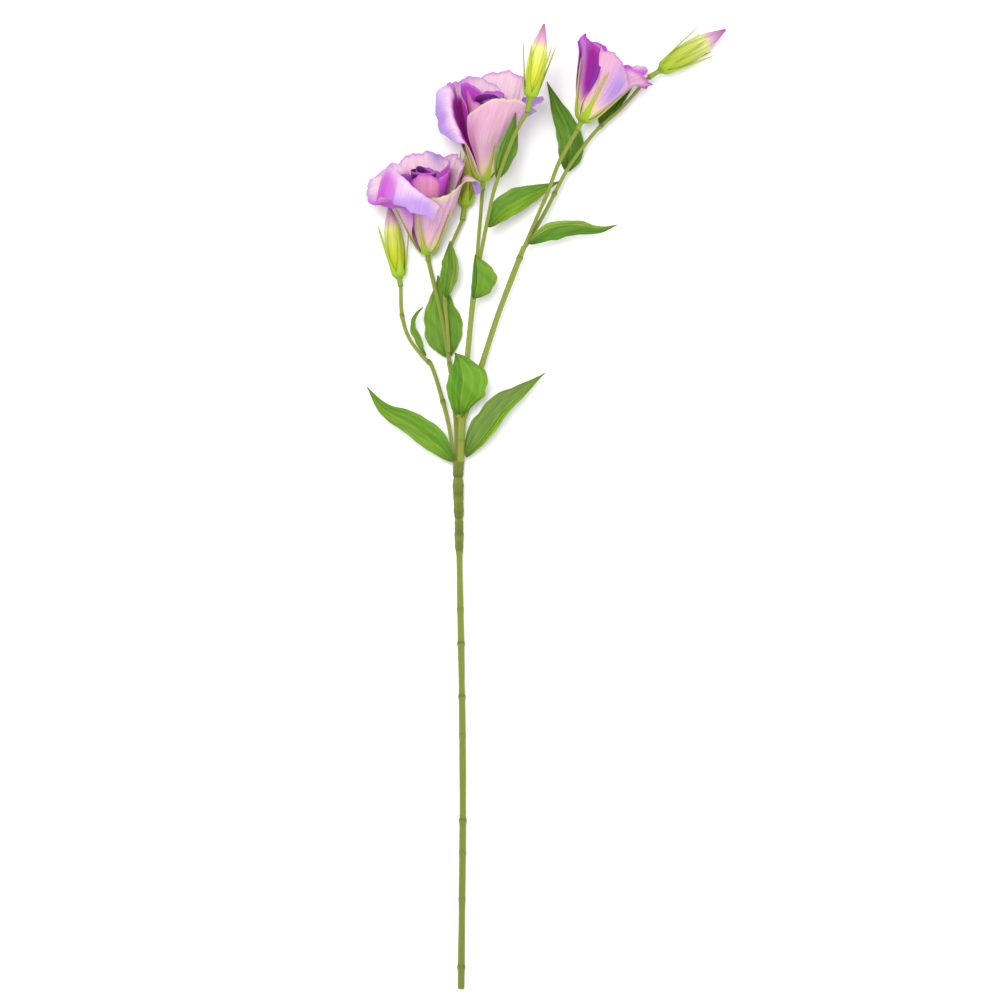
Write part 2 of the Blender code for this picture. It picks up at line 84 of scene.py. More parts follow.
# The colours of a bud, as the screen shows them: its foot, its pale belt, its tip and its very end
BUD_TINTS = {
    "left_bud": ((178, 190, 22), (206, 212, 120), (206, 160, 180), (168, 110, 144)),
    "hidden_bud": ((150, 160, 40), (190, 190, 110), (180, 160, 170), (160, 130, 170)),
    "top_bud": ((198, 206, 40), (220, 224, 130), (214, 160, 188), (172, 84, 156)),
    "right_bud": ((174, 188, 56), (206, 212, 130), (200, 150, 186), (152, 72, 152)),
}

# A stem runs through its points with a radius at its first and at its last one. Where it carries a flower or
# a bud, it ends at that one's foot, which isn't among the points.
Stem = namedtuple("Stem", "name points first_radius last_radius carries")
STEMS = (
    Stem("main_stem",
         ((-53.1, -300.0, 2.1), (-52.5, -245.2, 2.9), (-52.0, -183.1, 3.8), (-52.6, -114.8, 4.9),
          (-53.8, -49.6, 6.0), (-54.1, -27.6, 6.4)),
         2.1, 2.0, None),
    Stem("stem_sleeve",
         ((-54.2, -27.3, 6.4), (-54.4, -9.3, 6.6), (-54.8, 16.8, 7.0), (-54.6, 26.9, 6.8)),
         2.6, 3.5, None),
    Stem("centre_stem",
         ((-53.3, 27.3, 8.0), (-53.0, 40.3, 8.6), (-52.6, 54.0, 10.0)),
         2.4, 2.6, None),
    Stem("left_bud_branch",
         ((-58.0, 27.5, 7.2), (-59.9, 45.3, 6.6), (-64.3, 63.9, 6.4), (-71.1, 85.6, 7.0),
          (-76.6, 91.8, 7.6), (-85.3, 103.5, 8.4), (-89.7, 117.8, 9.2)),
         1.3, 1.2, "left_bud"),
    Stem("left_flower_branch",
         ((-55.6, 27.4, 3.6), (-56.2, 46.6, 3.2), (-57.8, 68.3, 4.2), (-60.5, 89.9, 6.0),
          (-63.9, 110.4, 6.4), (-68.0, 129.0, 5.8)),
         1.4, 1.3, "left_flower"),
    Stem("hidden_bud_branch",
         ((-60.6, 95.2, 9.0), (-61.7, 111.5, 10.0), (-63.0, 127.0, 10.2), (-62.7, 142.5, 9.6),
          (-59.3, 159.9, 8.0)),
         1.2, 1.1, "hidden_bud"),
    Stem("middle_branch",
         ((-54.4, 54.6, 11.4), (-52.1, 65.0, 13.0), (-49.9, 83.6, 14.0), (-47.8, 105.2, 15.0),
          (-45.6, 126.8, 16.0), (-43.4, 145.3, 17.0)),
         1.7, 1.8, None),
    Stem("middle_flower_branch",
         ((-43.6, 145.9, 15.8), (-42.2, 163.9, 15.5), (-41.0, 178.0, 16.0)),
         1.2, 1.2, "middle_flower"),
    Stem("top_bud_branch",
         ((-42.6, 146.0, 18.4), (-37.5, 170.9, 28.5), (-33.2, 190.9, 37.5), (-27.1, 209.0, 45.5),
          (-19.7, 227.0, 53.5)),
         1.2, 1.2, "top_bud"),
    Stem("right_branch",
         ((-51.0, 54.7, 7.8), (-45.6, 70.0, 9.5), (-38.8, 91.1, 11.0), (-30.8, 115.8, 13.0),
          (-22.7, 137.4, 15.0), (-14.1, 159.5, 17.0)),
         1.8, 1.8, None),
    Stem("right_flower_branch",
         ((-13.7, 160.0, 18.3), (-5.4, 179.2, 20.6), (0.8, 193.3, 22.8), (7.5, 211.2, 25.2)),
         1.2, 1.3, "right_flower"),
    Stem("right_bud_branch",
         ((-13.0, 160.2, 15.6), (-1.0, 181.3, 14.0), (8.2, 199.3, 13.5), (15.7, 212.3, 13.2),
          (30.5, 231.5, 13.0), (46.3, 245.8, 13.0)),
         1.3, 1.1, "right_bud"),
)

# A leaf has a midrib through its points. Its two halves, left and right, each have a width and fold up by so
# many degrees. It is widest at that share of its length, and its upper side looks the way of face.
Leaf = namedtuple("Leaf", "name points half_widths widest folds face tints")
LEAVES = (
    Leaf("lower_left_leaf",
         ((-57.6, 27.0, 9.8), (-71.0, 39.6, 12.5), (-86.5, 50.8, 14.0), (-101.4, 59.5, 11.0),
          (-111.3, 73.2, 8.0)),
         (6.2, 9.0), 0.34, (14, 20), (0.25, -0.2, 1.0),
         ((106, 152, 44), (92, 144, 34))),
    Leaf("lower_right_leaf",
         ((-49.9, 29.6, 8.0), (-38.2, 43.4, 12.0), (-27.0, 58.2, 14.0), (-15.3, 68.7, 13.0),
          (-6.6, 76.8, 10.0), (-1.0, 81.8, 8.0)),
         (12.1, 5.4), 0.34, (4, 50), (-0.2, 0.2, 1.0),
         ((100, 136, 60), (112, 164, 42))),
    Leaf("front_leaf",
         ((-53.5, 56.1, 14.1), (-53.0, 66.1, 20.0), (-51.7, 78.5, 22.0), (-53.6, 88.4, 20.0),
          (-56.7, 94.0, 17.0)),
         (11.0, 15.5), 0.5, (22, 8), (0.35, -0.1, 1.0),
         ((84, 142, 32), (98, 150, 34))),
    Leaf("narrow_leaf",
         ((-74.8, 92.3, 9.2), (-79.0, 102.4, 12.4), (-82.5, 112.0, 13.4), (-79.6, 118.9, 13.6),
          (-76.4, 122.6, 13.0)),
         (3.0, 3.0), 0.5, (20, 20), (-0.9, 0.2, 0.7),
         ((100, 150, 44), (100, 150, 44))),
    Leaf("oval_leaf",
         ((-60.9, 91.6, 3.9), (-63.6, 105.4, 2.0), (-65.5, 121.0, 2.0), (-66.1, 132.2, 2.2),
          (-67.4, 142.7, 2.4)),
         (11.6, 11.6), 0.36, (4, 4), (0.0, 0.0, 1.0),
         ((100, 150, 42), (92, 144, 36))),
    Leaf("folded_leaf",
         ((-62.4, 128.6, 11.9), (-60.4, 139.2, 15.0), (-59.2, 150.3, 16.0), (-59.8, 163.4, 15.0)),
         (6.0, 6.0), 0.5, (38, 38), (-0.2, 0.0, 1.0),
         ((92, 138, 40), (112, 150, 58))),
    Leaf("wing_leaf",
         ((-45.4, 127.7, 18.5), (-43.4, 135.9, 22.6), (-43.1, 145.1, 24.0), (-44.3, 154.5, 24.0)),
         (5.0, 11.5), 0.5, (60, 12), (0.2, 0.0, 1.0),
         ((80, 130, 42), (98, 146, 38))),
    Leaf("long_leaf",
         ((-36.1, 171.3, 27.2), (-27.7, 181.3, 20.0), (-15.9, 188.8, 15.5), (-3.5, 195.0, 10.5),
          (8.3, 200.6, 9.0)),
         (8.6, 6.5), 0.36, (14, 30), (-0.1, -0.2, 1.0),
         ((96, 146, 50), (110, 158, 40))),
    Leaf("outer_right_leaf",
         ((-11.4, 161.5, 19.7), (2.0, 169.5, 22.0), (17.4, 171.8, 23.0), (32.8, 170.4, 22.0),
          (43.4, 173.0, 21.0)),
         (7.0, 6.0), 0.36, (35, 25), (0.0, -0.6, 1.0),
         ((122, 164, 56), (78, 132, 30))),
    Leaf("top_bud_leaf",
         ((-30.8, 200.1, 39.4), (-27.0, 213.0, 44.6), (-23.6, 224.0, 48.6), (-19.4, 240.0, 54.6)),
         (5.6, 7.5), 0.4, (2, 6), (0.5, -0.45, 0.8),
         ((98, 142, 56), (86, 132, 38))),
    Leaf("pointed_leaf",
         ((12.6, 206.2, 11.2), (15.1, 220.1, 9.0), (12.6, 233.7, 9.0), (6.4, 247.2, 10.0),
          (0.2, 262.1, 10.0)),
         (8.0, 7.6), 0.27, (12, 12), (0.0, 0.0, 1.0),
         ((86, 132, 32), (80, 130, 34))),
    Leaf("under_flower_leaf",
         ((33.4, 234.3, 11.0), (37.4, 241.8, 8.0), (44.3, 250.5, 5.0), (55.4, 263.6, 4.0)),
         (6.0, 3.6), 0.4, (15, 15), (0.0, 0.0, 1.0),
         ((84, 130, 50), (80, 128, 44))),
)

# A flower or a bud stands on base, leans from +Y towards +X and tilts up from the surface. Its calyx has a
# sleeve on the stem, and a first sepal at the azimuth sepals_from. Azimuths turn about its axis: 0 faces up,
# 90 faces +X.
Stand = namedtuple("Stand", "base lean tilt sleeve sepals_from")
# A petal starts at an azimuth and turns on the way up, and its halves each have a width. Each triple holds
# for its left edge, middle and right edge: how long it is, where its lip starts, how far the lip turns
# outward, and how much more it leans out than the rest. The lower corners is, the sooner its rim slopes to
# its side edges.
Petal = namedtuple("Petal", "azimuth turn half_widths lengths lip_starts lips leans corners",
                   defaults=(2.4,))
FLOWERS = {
    "left_flower": (
        Stand((-73.6, 156.0, 7.0), -3, 28, 5, -15),
        (
            Petal(337, -8, (14.5, 20), (90, 81, 53), (60, 58, 38), (134, 134, 122), (-7, -6, 0), 1.2),
            Petal(36, 14, (21, 21), (36, 51, 70), (40, 46, 50), (4, 8, 140), (-5, -1, 0), 1.2),
            Petal(108, 19, (19, 19), (54, 60, 54), (42, 42, 40), (0, 6, 20), (-3, -1, 1)),
            Petal(180, 3, (20, 20), (55, 59, 54), (42, 42, 35), (6, 18, 46), (0, 0, 0)),
            Petal(254, 3, (20, 24), (56, 61, 49), (44, 42, 37), (58, 92, 84), (0, 0, -4)),
        ),
        (
            Petal(5, 0, (14, 14), (45, 57, 44), (35, 35, 35), (-13, -13, -7), (0, 0, 0), 1.6),
            Petal(95, 0, (14, 14), (48, 56, 48), (35, 35, 35), (-8, -4, -2), (1, 4, 5)),
            Petal(175, -12, (14, 14), (46, 50, 44), (35, 35, 35), (-6, -6, -5), (0, 1, 2)),
            Petal(262, 0, (14, 14), (44, 50, 48), (35, 35, 35), (-8, -6, -5), (2, 3, 2)),
        ),
    ),
    "middle_flower": (
        Stand((-39.4, 200.5, 18.0), 3, 20, 6, 22),
        (
            Petal(312, -53, (13, 9), (58, 62, 33), (56, 46, 24), (60, 112, 116), (0, -3, 0), 1.8),
            Petal(6, 20, (22, 22), (42, 63, 59), (44, 48, 38), (0, 2, 33), (-4, 0, 0)),
            Petal(78, 14, (20, 20), (46, 62, 60), (42, 46, 44), (30, 52, 45), (0, 0, 0), 1.8),
            Petal(150, 6, (20, 20), (60, 66, 60), (48, 48, 46), (2, 8, 20), (0, 0, 0)),
            Petal(228, -22, (20, 20), (54, 61, 56), (46, 46, 46), (4, 12, 28), (0, 0, 0)),
        ),
        (
            Petal(325, 0, (11, 11), (56, 51, 44), (35, 35, 35), (-8, -6, -4), (0, 0, 0)),
            Petal(68, 0, (14, 14), (46, 51, 46), (35, 35, 35), (-6, -4, -4), (1, 2, 1)),
            Petal(158, 0, (14, 14), (47, 52, 46), (35, 35, 35), (-6, -4, -5), (2, 3, 2)),
            Petal(248, 0, (14, 14), (50, 58, 48), (35, 35, 35), (-8, -6, -5), (3, 4, 3)),
        ),
    ),
    "right_flower": (
        Stand((21.3, 236.4, 27.3), 27, 3, 6, 5),
        (
            Petal(5, -8, (16, 16), (48, 47, 35), (36, 36, 32), (6, 10, 22), (0, 0, 0)),
            Petal(77, 0, (17, 17), (42, 46, 46), (30, 30, 32), (10, 40, 52), (0, 0, 0)),
            Petal(149, 0, (17, 17), (46, 52, 48), (34, 34, 34), (8, 30, 42), (0, 0, 0)),
            Petal(221, 0, (17, 17), (46, 50, 46), (34, 34, 34), (4, 10, 24), (0, 0, 0)),
            Petal(293, 0, (17, 17), (46, 50, 46), (34, 34, 34), (3, 4, 14), (0, 0, 0)),
        ),
        (),
    ),
}
BUDS = {
    "left_bud": Stand((-91.2, 140.4, 10.2), -8, 0, 5, 20),
    "hidden_bud": Stand((-51.0, 184.6, 6.8), 9, 0, 8, 0),
    "top_bud": Stand((-10.5, 248.4, 61.0), 10.7, 8, 9, -30),
    "right_bud": Stand((70.0, 268.9, 13.0), 58, 0, 8, 0),
}
BUD_SPREAD = {"left_bud": 12, "hidden_bud": 7, "top_bud": 12, "right_bud": 12}  # tilt of its sepals
CONE = 22  # half angle of the cone on which the outer petals rise
OUTER_START = (4.5, 2.4)  # radius and height where the outer petals begin
INNER_START = (1.7, 3.6)
INNER_CONE = 13
OUTER_RUFFLE, INNER_RUFFLE = 1.6, 0.9
BASE_ROUNDING = 8  # extra angle at which a petal leaves its base
BASE_ROUND_LENGTH = 10
SPIRAL_LENGTH = 22
BASE_SHARE = 0.72  # of the radius at its base, half the width of a petal there
WIDENING_LENGTH = 43
WIDENING_SHARE = 0.72  # of a petal's length, over which a short one widens
LEAN_LENGTH = 12  # over which a petal takes up its lean
LIP_BEND = 11  # length of petal over which the lip turns
OUTER_SPIRAL = (0.5, 1.5)  # how far an edge lies in or out of the next petal, at the base and higher up
INNER_SPIRAL = (0.3, 1.0)
HEART = ((6.4, 1.4), (14, 3.0), (26, 4.6), (40, 6.4), (56, 7.8))  # height and radius
HEART_TOPS = {"left_flower": 56, "middle_flower": 51}
HEART_TURNS = 2.2
HEART_CORE = 0.22  # of the heart's radius, how far out the roll starts

BUD_LENGTH = 46
BUD_RADIUS = 6.2
BUD_SIZES = {"right_bud": (7.0, 48)}
BUD_FOOT = 2.2  # height of its lower end above its stand's base
BUD_TWIST = 0.9  # radians that its petals' edges wind round it, before the extra turn near its tip
BUD_OUTLINE = ((0, 0.42), (0.10, 0.72), (0.25, 0.92), (0.42, 1.0), (0.6, 0.92), (0.76, 0.66), (0.9, 0.32),
               (1, 0.10))  # share of the length, share of the radius
BUD_CUP = (4.2, 3.2)  # radius and height of the rim
FLOWER_CUP = (6.2, 3.6)
SEPAL_LENGTH = 31
FLOWER_SEPALS = {"left_flower": 36, "middle_flower": 30, "right_flower": 36}  # from a petal's base
SEPAL_CLEARANCE = 1.1  # from the middle of a petal
SEPAL_STEPS, SEPAL_KNOT = 48, 8  # steps along it, and how many lie between two points of its path
PETAL_COUNT = SEPAL_COUNT = 5
CALYX_SPANS = 40


def smooth_path(points, spans):
    """spans + 1 evenly spaced points on a smooth curve through the given ones."""
    knots = [Vector(p) for p in points]
    knots = [2 * knots[0] - knots[1], *knots, 2 * knots[-1] - knots[-2]]
    fine = []
    for i in range(1, len(knots) - 2):
        before, start, end, after = knots[i - 1:i + 3]
        for step in range(PATH_STEPS):
            t = step / PATH_STEPS
            fine.append(0.5 * (2 * start + (end - before) * t
                               + (2 * before - 5 * start + 4 * end - after) * t ** 2
                               + (3 * start - before - 3 * end + after) * t ** 3))
    fine.append(knots[-2])
    lengths = [0.0]
    for a, b in zip(fine, fine[1:]):
        lengths.append(lengths[-1] + (b - a).length)
    path, i = [], 0
    for step in range(spans + 1):
        wanted = lengths[-1] * step / spans
        while i < len(fine) - 2 and lengths[i + 1] < wanted:
            i += 1
        share = (wanted - lengths[i]) / (lengths[i + 1] - lengths[i])
        path.append(fine[i].lerp(fine[i + 1], share))
    return path


def tangents(path):
    last = len(path) - 1
    return [(path[min(i + 1, last)] - path[max(i - 1, 0)]).normalized() for i in range(last + 1)]


def axes_of(stand):
    """The axis of a flower or bud, its front, which faces up, and its right."""
    lean, tilt = math.radians(stand.lean), math.radians(stand.tilt)
    axis = Vector((math.sin(lean) * math.cos(tilt), math.cos(lean) * math.cos(tilt), math.sin(tilt)))
    front = (UP - axis * axis.z).normalized()
    return axis, front, axis.cross(front)


def srgb(red, green, blue):
    """A colour as the screen shows it, 0 to 255, in the linear light that shaders use."""
    values = np.array((red, green, blue)) / 255
    return np.where(values < 0.04045, values / 12.92, ((values + 0.055) / 1.055) ** 2.4)


def smooth(t):
    t = np.clip(t, 0, 1)
    return t * t * (3 - 2 * t)


def through(values, t):
    """The parabola through three values at t = -1, 0 and 1."""
    left, middle, right = values
    return middle + (right - left) / 2 * t + ((left + right) / 2 - middle) * t * t


def mixed(base, colour, share):
    """base with that share of colour in it, for arrays of colours and shares."""
    share = np.asarray(share)[..., None]
    return base * (1 - share) + np.asarray(colour) * share


def steps(t, *stops):
    """A colour for each t, from (t, colour) stops."""
    places = [place for place, colour in stops]
    colours = np.array([colour for place, colour in stops])
    return np.stack([np.interp(t, places, colours[:, k]) for k in range(3)], -1)


def waves(t, seed, *sizes):
    """A smooth wavy line: size after size, each wave shorter than the one before."""
    rng = np.random.default_rng(seed)
    total = np.zeros_like(t, dtype=float)
    pitch = 1.0
    for size in sizes:
        total += size * np.sin(math.tau * (t * pitch * rng.uniform(0.85, 1.15) + rng.uniform()))
        pitch *= 1.9
    return total


def seed_of(name):
    return sum(ord(letter) * (i + 1) for i, letter in enumerate(name))


# ---- meshes ----


def make_piece(name, points, faces, tints, uvs, material, slot):
    """A mesh with a painted colour and a place on the grain map at each point, in place of its CAD node."""
    mesh = bpy.data.meshes.new(name)
    points = (np.asarray(points, float).reshape(-1, 3) - np.array(MIDDLE)) * MM
    mesh.from_pydata(points.tolist(), [], faces)
    tint = mesh.color_attributes.new("tint", "FLOAT_COLOR", "POINT")
    rgba = np.ones((len(points), 4))
    rgba[:, :3] = np.clip(np.asarray(tints).reshape(-1, 3), 0, 1)
    tint.data.foreach_set("color", rgba.ravel())
    layer = mesh.uv_layers.new(name="grain")
    corners = np.zeros(len(mesh.loops), int)
    mesh.loops.foreach_get("vertex_index", corners)
    layer.data.foreach_set("uv", np.asarray(uvs, float).reshape(-1, 2)[corners].ravel())
    mesh.materials.append(material)
    mesh.shade_smooth()
    mesh.set_sharp_from_angle(angle=math.radians(SHARP_ANGLE))
    piece = bpy.data.objects.new(name, mesh)
    bpy.context.scene.collection.objects.link(piece)
    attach(piece, "root")
    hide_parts(name)


def grid_faces(rows, columns, first=0, closed=False, flip=False):
    """The faces between rows of points. closed joins the last column to the first one."""
    faces = []
    for i in range(rows - 1):
        for j in range(columns if closed else columns - 1):
            k = (j + 1) % columns
            a, b = first + i * columns, first + (i + 1) * columns
            face = (a + j, a + k, b + k, b + j)
            faces.append(face[::-1] if flip else face)
    return faces


def grid_normals(grid):
    along = np.gradient(grid, axis=0)
    across = np.gradient(grid, axis=1)
    normals = np.cross(along, across)
    return normals / np.maximum(np.linalg.norm(normals, axis=-1, keepdims=True), 1e-9)


def sheet(grid, thickness, towards, rim=0.35):
    """Points and faces of a thin closed sheet about a grid of points.

    Its front is turned towards a direction at each point. The front's points come first, then the back's.
    The sheet thins to a share of its thickness at its rim.
    """
    rows, columns = grid.shape[:2]
    normals = grid_normals(grid)
    flip = (normals * towards).sum() < 0
    if flip:
        normals = -normals
    i, j = np.meshgrid(np.arange(rows), np.arange(columns), indexing="ij")
    inset = np.minimum(np.minimum(i, rows - 1 - i), np.minimum(j, columns - 1 - j))
    half = thickness / 2 * np.where(inset == 0, rim, np.where(inset == 1, (1 + rim) / 2, 1))
    front, back = grid + normals * half[..., None], grid - normals * half[..., None]
    points = np.concatenate([front.reshape(-1, 3), back.reshape(-1, 3)])
    count = rows * columns
    faces = grid_faces(rows, columns, 0, flip=not flip) + grid_faces(rows, columns, count, flip=flip)
    edge = list(range(columns))
    edge += [r * columns + columns - 1 for r in range(1, rows)]
    edge += [(rows - 1) * columns + c for c in range(columns - 2, -1, -1)]
    edge += [r * columns for r in range(rows - 2, 0, -1)]
    for a, b in zip(edge, edge[1:] + edge[:1]):
        face = (a, b, count + b, count + a)
        faces.append(face if flip else face[::-1])
    return points, faces


def tube(centres, headings, rings, sides):
    """Points and faces of a closed tube. rings holds the radii round each centre."""
    side = headings[0].orthogonal()
    points = []
    for centre, heading, ring in zip(centres, headings, rings):
        side = (side - heading * side.dot(heading)).normalized()
        other = heading.cross(side)
        for k in range(sides):
            turn = math.tau * k / sides
            points.append(centre + (side * math.cos(turn) + other * math.sin(turn)) * float(ring[k]))
    points = np.array(points)
    last = len(points) - sides
    faces = grid_faces(len(centres), sides, closed=True)
    faces += [tuple(range(sides))[::-1], tuple(range(last, last + sides))]
    return points, faces


def in_stand(stand, radius, height, azimuth):
    """Points at radii, heights and azimuths (radians) about a stand's axis, and the ways outward there."""
    axis, front, right = (np.array(v) for v in axes_of(stand))
    radius, height, azimuth = np.broadcast_arrays(radius, height, azimuth)
    outward = np.cos(azimuth)[..., None] * front + np.sin(azimuth)[..., None] * right
    return np.array(stand.base) + height[..., None] * axis + radius[..., None] * outward, outward


def revolved(stand, radius, height, azimuth):
    """Points and faces of a body turned about a stand's axis, with a flat cap at each end."""
    points = in_stand(stand, radius, height, azimuth)[0]
    rows, columns = points.shape[:2]
    faces = grid_faces(rows, columns, closed=True, flip=True)
    last = (rows - 1) * columns
    faces += [tuple(range(columns)), tuple(range(last, last + columns))[::-1]]
    return points.reshape(-1, 3), faces


# ---- materials ----


class Nodes:
    """A short way to write a material's nodes."""

    def __init__(self, name):
        self.material = bpy.data.materials.new(name)
        self.material.use_nodes = True
        self.tree = self.material.node_tree
        self.tree.nodes.clear()

    def add(self, kind, inputs=None, **settings):
        node = self.tree.nodes.new(kind)
        for key, value in settings.items():
            setattr(node, key, value)
        for key, value in (inputs or {}).items():
            if isinstance(value, bpy.types.NodeSocket):
                self.tree.links.new(value, node.inputs[key])
            else:
                node.inputs[key].default_value = value
        return node

    def maths(self, operation, *values):
        return self.add("ShaderNodeMath", dict(enumerate(values)), operation=operation).outputs[0]

    def ramp(self, value, *stops):
        node = self.add("ShaderNodeValToRGB", {"Fac": value})
        elements = node.color_ramp.elements
        while len(elements) < len(stops):
            elements.new(0.5)
        for element, (place, level) in zip(elements, stops):
            element.position = place
            element.color = (level, level, level, 1)
        return node.outputs["Color"]

    def grain(self, scale, detail, stretch=(1, 1, 1), roughness=0.5):
        """Noise over the piece's own grain map, stretched along or across it."""
        uv = self.add("ShaderNodeUVMap", uv_map="grain").outputs[0]
        mapped = self.add("ShaderNodeMapping", {"Vector": uv, "Scale": stretch}).outputs[0]
        noise = self.add("ShaderNodeTexNoise", {"Vector": mapped, "Scale": scale, "Detail": detail,
                                                "Roughness": roughness})
        return noise.outputs["Fac"]

    def tinted(self, share, darker, lighter):
        """The piece's painted colour, times one colour where share is 0 and another where it is 1."""
        tint = self.add("ShaderNodeVertexColor", layer_name="tint").outputs["Color"]
        ends = {0: share, 6: (*darker, 1), 7: (*lighter, 1)}
        shade = self.add("ShaderNodeMix", ends, data_type="RGBA").outputs[2]
        mix = self.add("ShaderNodeMix", {0: 1.0, 6: tint, 7: shade}, data_type="RGBA", blend_type="MULTIPLY")
        return mix.outputs[2]

    def bump(self, height, distance, strength, below=None):
        """A relief of that height in millimetres, over the one below it."""
        inputs = {"Height": height, "Distance": distance * MM, "Strength": strength}
        if below is not None:
            inputs["Normal"] = below
        return self.add("ShaderNodeBump", inputs).outputs[0]

    def finish(self, colour, roughness, normal, translucent, **sockets):
        """The material with its surface, of which a translucent share lets light through."""
        inputs = {"Base Color": colour, "Roughness": roughness, "Normal": normal}
        inputs.update({key.replace("_", " "): value for key, value in sockets.items()})
        shader = self.add("ShaderNodeBsdfPrincipled", inputs).outputs[0]
        if translucent:
            glow = self.add("ShaderNodeBsdfTranslucent", {"Color": colour, "Normal": normal}).outputs[0]
            shader = self.add("ShaderNodeMixShader", {0: translucent, 1: shader, 2: glow}).outputs[0]
        self.add("ShaderNodeOutputMaterial", {"Surface": shader})
        return self.material


def petal_material(name, translucent):
    n = Nodes(name)
    veins = n.grain(1.0, 4, (13.0, 0.5, 1), 0.6)
    mottle = n.grain(1.2, 3)
    lines = n.ramp(veins, (0.35, 0), (0.5, 0.7), (0.62, 1))
    share = n.maths("MULTIPLY_ADD", mottle, 0.4, n.maths("MULTIPLY", lines, 0.6))
    colour = n.tinted(share, (0.9, 0.74, 0.88), (1.04, 1.1, 1.05))
    rough = n.add("ShaderNodeMapRange", {"Value": mottle, "To Min": 0.5, "To Max": 0.72}).outputs[0]
    normal = n.bump(veins, 0.25, 0.6)
    return n.finish(colour, rough, normal, translucent, Sheen_Weight=0.06, Sheen_Roughness=0.5,
                    Specular_IOR_Level=0.12)


def leaf_material(name):
    n = Nodes(name)
    uv = n.add("ShaderNodeUVMap", uv_map="grain").outputs[0]
    across = n.add("ShaderNodeSeparateXYZ", {0: uv}).outputs[0]
    wobble = n.grain(0.7, 2)
    line = n.maths("ADD", n.maths("MULTIPLY", across, 1.6), n.maths("MULTIPLY", wobble, 0.5))
    wave = n.maths("SINE", n.maths("MULTIPLY", line, math.tau))
    veins = n.ramp(n.maths("MULTIPLY_ADD", wave, 0.5, 0.5), (0.0, 0), (0.7, 0.4), (1.0, 1))
    fine = n.grain(1.0, 4, (7.0, 0.7, 1), 0.6)
    blotch = n.grain(0.9, 3)
    share = n.maths("ADD", n.maths("MULTIPLY", veins, 0.2), n.maths("MULTIPLY", fine, 0.45))
    share = n.maths("MULTIPLY_ADD", blotch, 0.35, share)
    colour = n.tinted(share, (0.52, 0.62, 0.42), (1.8, 1.45, 1.25))
    rough = n.add("ShaderNodeMapRange", {"Value": fine, "To Min": 0.42, "To Max": 0.62}).outputs[0]
    normal = n.bump(fine, 0.3, 0.6, n.bump(veins, 0.6, 0.7))
    return n.finish(colour, rough, normal, 0.12, Specular_IOR_Level=0.22)


def stem_material(name, roughness, relief):
    n = Nodes(name)
    ribs = n.grain(1.0, 4, (5.0, 0.25, 1), 0.6)
    specks = n.grain(1.6, 4)
    share = n.maths("ADD", n.maths("MULTIPLY", ribs, 0.6), n.maths("MULTIPLY", specks, 0.4))
    colour = n.tinted(share, (0.66, 0.68, 0.6), (1.3, 1.28, 1.15))
    rough = n.add("ShaderNodeMapRange", {"Value": specks, "To Min": roughness - 0.1,
                                         "To Max": roughness + 0.12}).outputs[0]
    normal = n.bump(ribs, relief, 0.7)
    return n.finish(colour, rough, normal, 0.0, Specular_IOR_Level=0.35)


def bud_material(name):
    n = Nodes(name)
    streaks = n.grain(1.0, 4, (3.5, 0.25, 1), 0.6)
    share = n.ramp(streaks, (0.3, 0), (0.7, 1))
    colour = n.tinted(share, (0.82, 0.82, 0.6), (1.1, 1.1, 1.25))
    rough = n.add("ShaderNodeMapRange", {"Value": streaks, "To Min": 0.45, "To Max": 0.65}).outputs[0]
    return n.finish(colour, rough, n.bump(streaks, 0.3, 0.6), 0.1, Specular_IOR_Level=0.3)


# ---- stems ----

STEM_OLIVE = srgb(102, 118, 30)
STEM_LIGHT = srgb(134, 145, 52)
STEM_DARK = srgb(70, 74, 18)
SLEEVE_OLIVE = srgb(95, 102, 37)


def stem(piece, material):
    points, stand = piece.points, STANDS.get(piece.carries)
    if stand:
        foot = in_stand(stand, 0, -stand.sleeve - FOOT_GAP, 0)[0]
        points += (tuple(foot),)
    length = sum((Vector(a) - Vector(b)).length for a, b in zip(points, points[1:]))
    spans = round(length / STEM_STEP)
    path = smooth_path(points, spans)
    headings = tangents(path)
    if stand:
        headings[-1] = axes_of(stand)[0]
    path[0] -= headings[0] * JOINT_GAP
    path[-1] += headings[-1] * JOINT_GAP
    s = np.linspace(0, length, spans + 1)
    radii = piece.first_radius + (piece.last_radius - piece.first_radius) * s / length
    seed = seed_of(piece.name)
    radii = radii * (1 + waves(s / 60, seed, 0.03, 0.02))
    dark = np.zeros_like(s)
    for place, extra in RINGS.get(piece.name, ()):
        radii += extra * np.exp(-((s - place) / RING_WIDTH) ** 2)
        shadow = np.exp(-((s - place - SHADOW_PLACE) / SHADOW_WIDTH) ** 2)
        dark = np.maximum(dark, min(1, abs(extra) * 2.2) * shadow)
    turns = np.arange(STEM_SIDES) * math.tau / STEM_SIDES
    ribs = np.cos(STEM_RIBS * turns)
    rings = radii[:, None] * (1 + 0.025 * ribs)
    if piece.name == "stem_sleeve":
        rings = rings * (1 + 0.06 * waves(s / 14, seed, 0.6, 0.5, 0.4)[:, None]
                         + 0.03 * np.cos(5 * turns + s[:, None] / 7))
    mesh = tube(path, headings, rings, STEM_SIDES)
    if piece.name == "main_stem":
        base = mixed(STEM_OLIVE, STEM_LIGHT, np.clip(s / length, 0, 1) * 0.35)
    elif piece.name == "stem_sleeve":
        base = mixed(SLEEVE_OLIVE, STEM_LIGHT, 0.18 + 0.2 * waves(s / 11, seed, 0.7, 0.5))
    else:
        base = mixed(STEM_OLIVE, STEM_LIGHT, np.ones_like(s) * 0.75)
    base = mixed(base, STEM_DARK, dark * 0.75)
    # painted shade and highlight: each ring of tints is lighter over the ribs and darker in the grooves
    # between them
    tints = base[:, None] * (0.94 + 0.14 * ribs)[None, :, None]
    uvs = np.stack(np.broadcast_arrays(turns[None, :] / 2, s[:, None] / 6), -1)
    make_piece(piece.name, *mesh, tints, uvs, material, "stem")


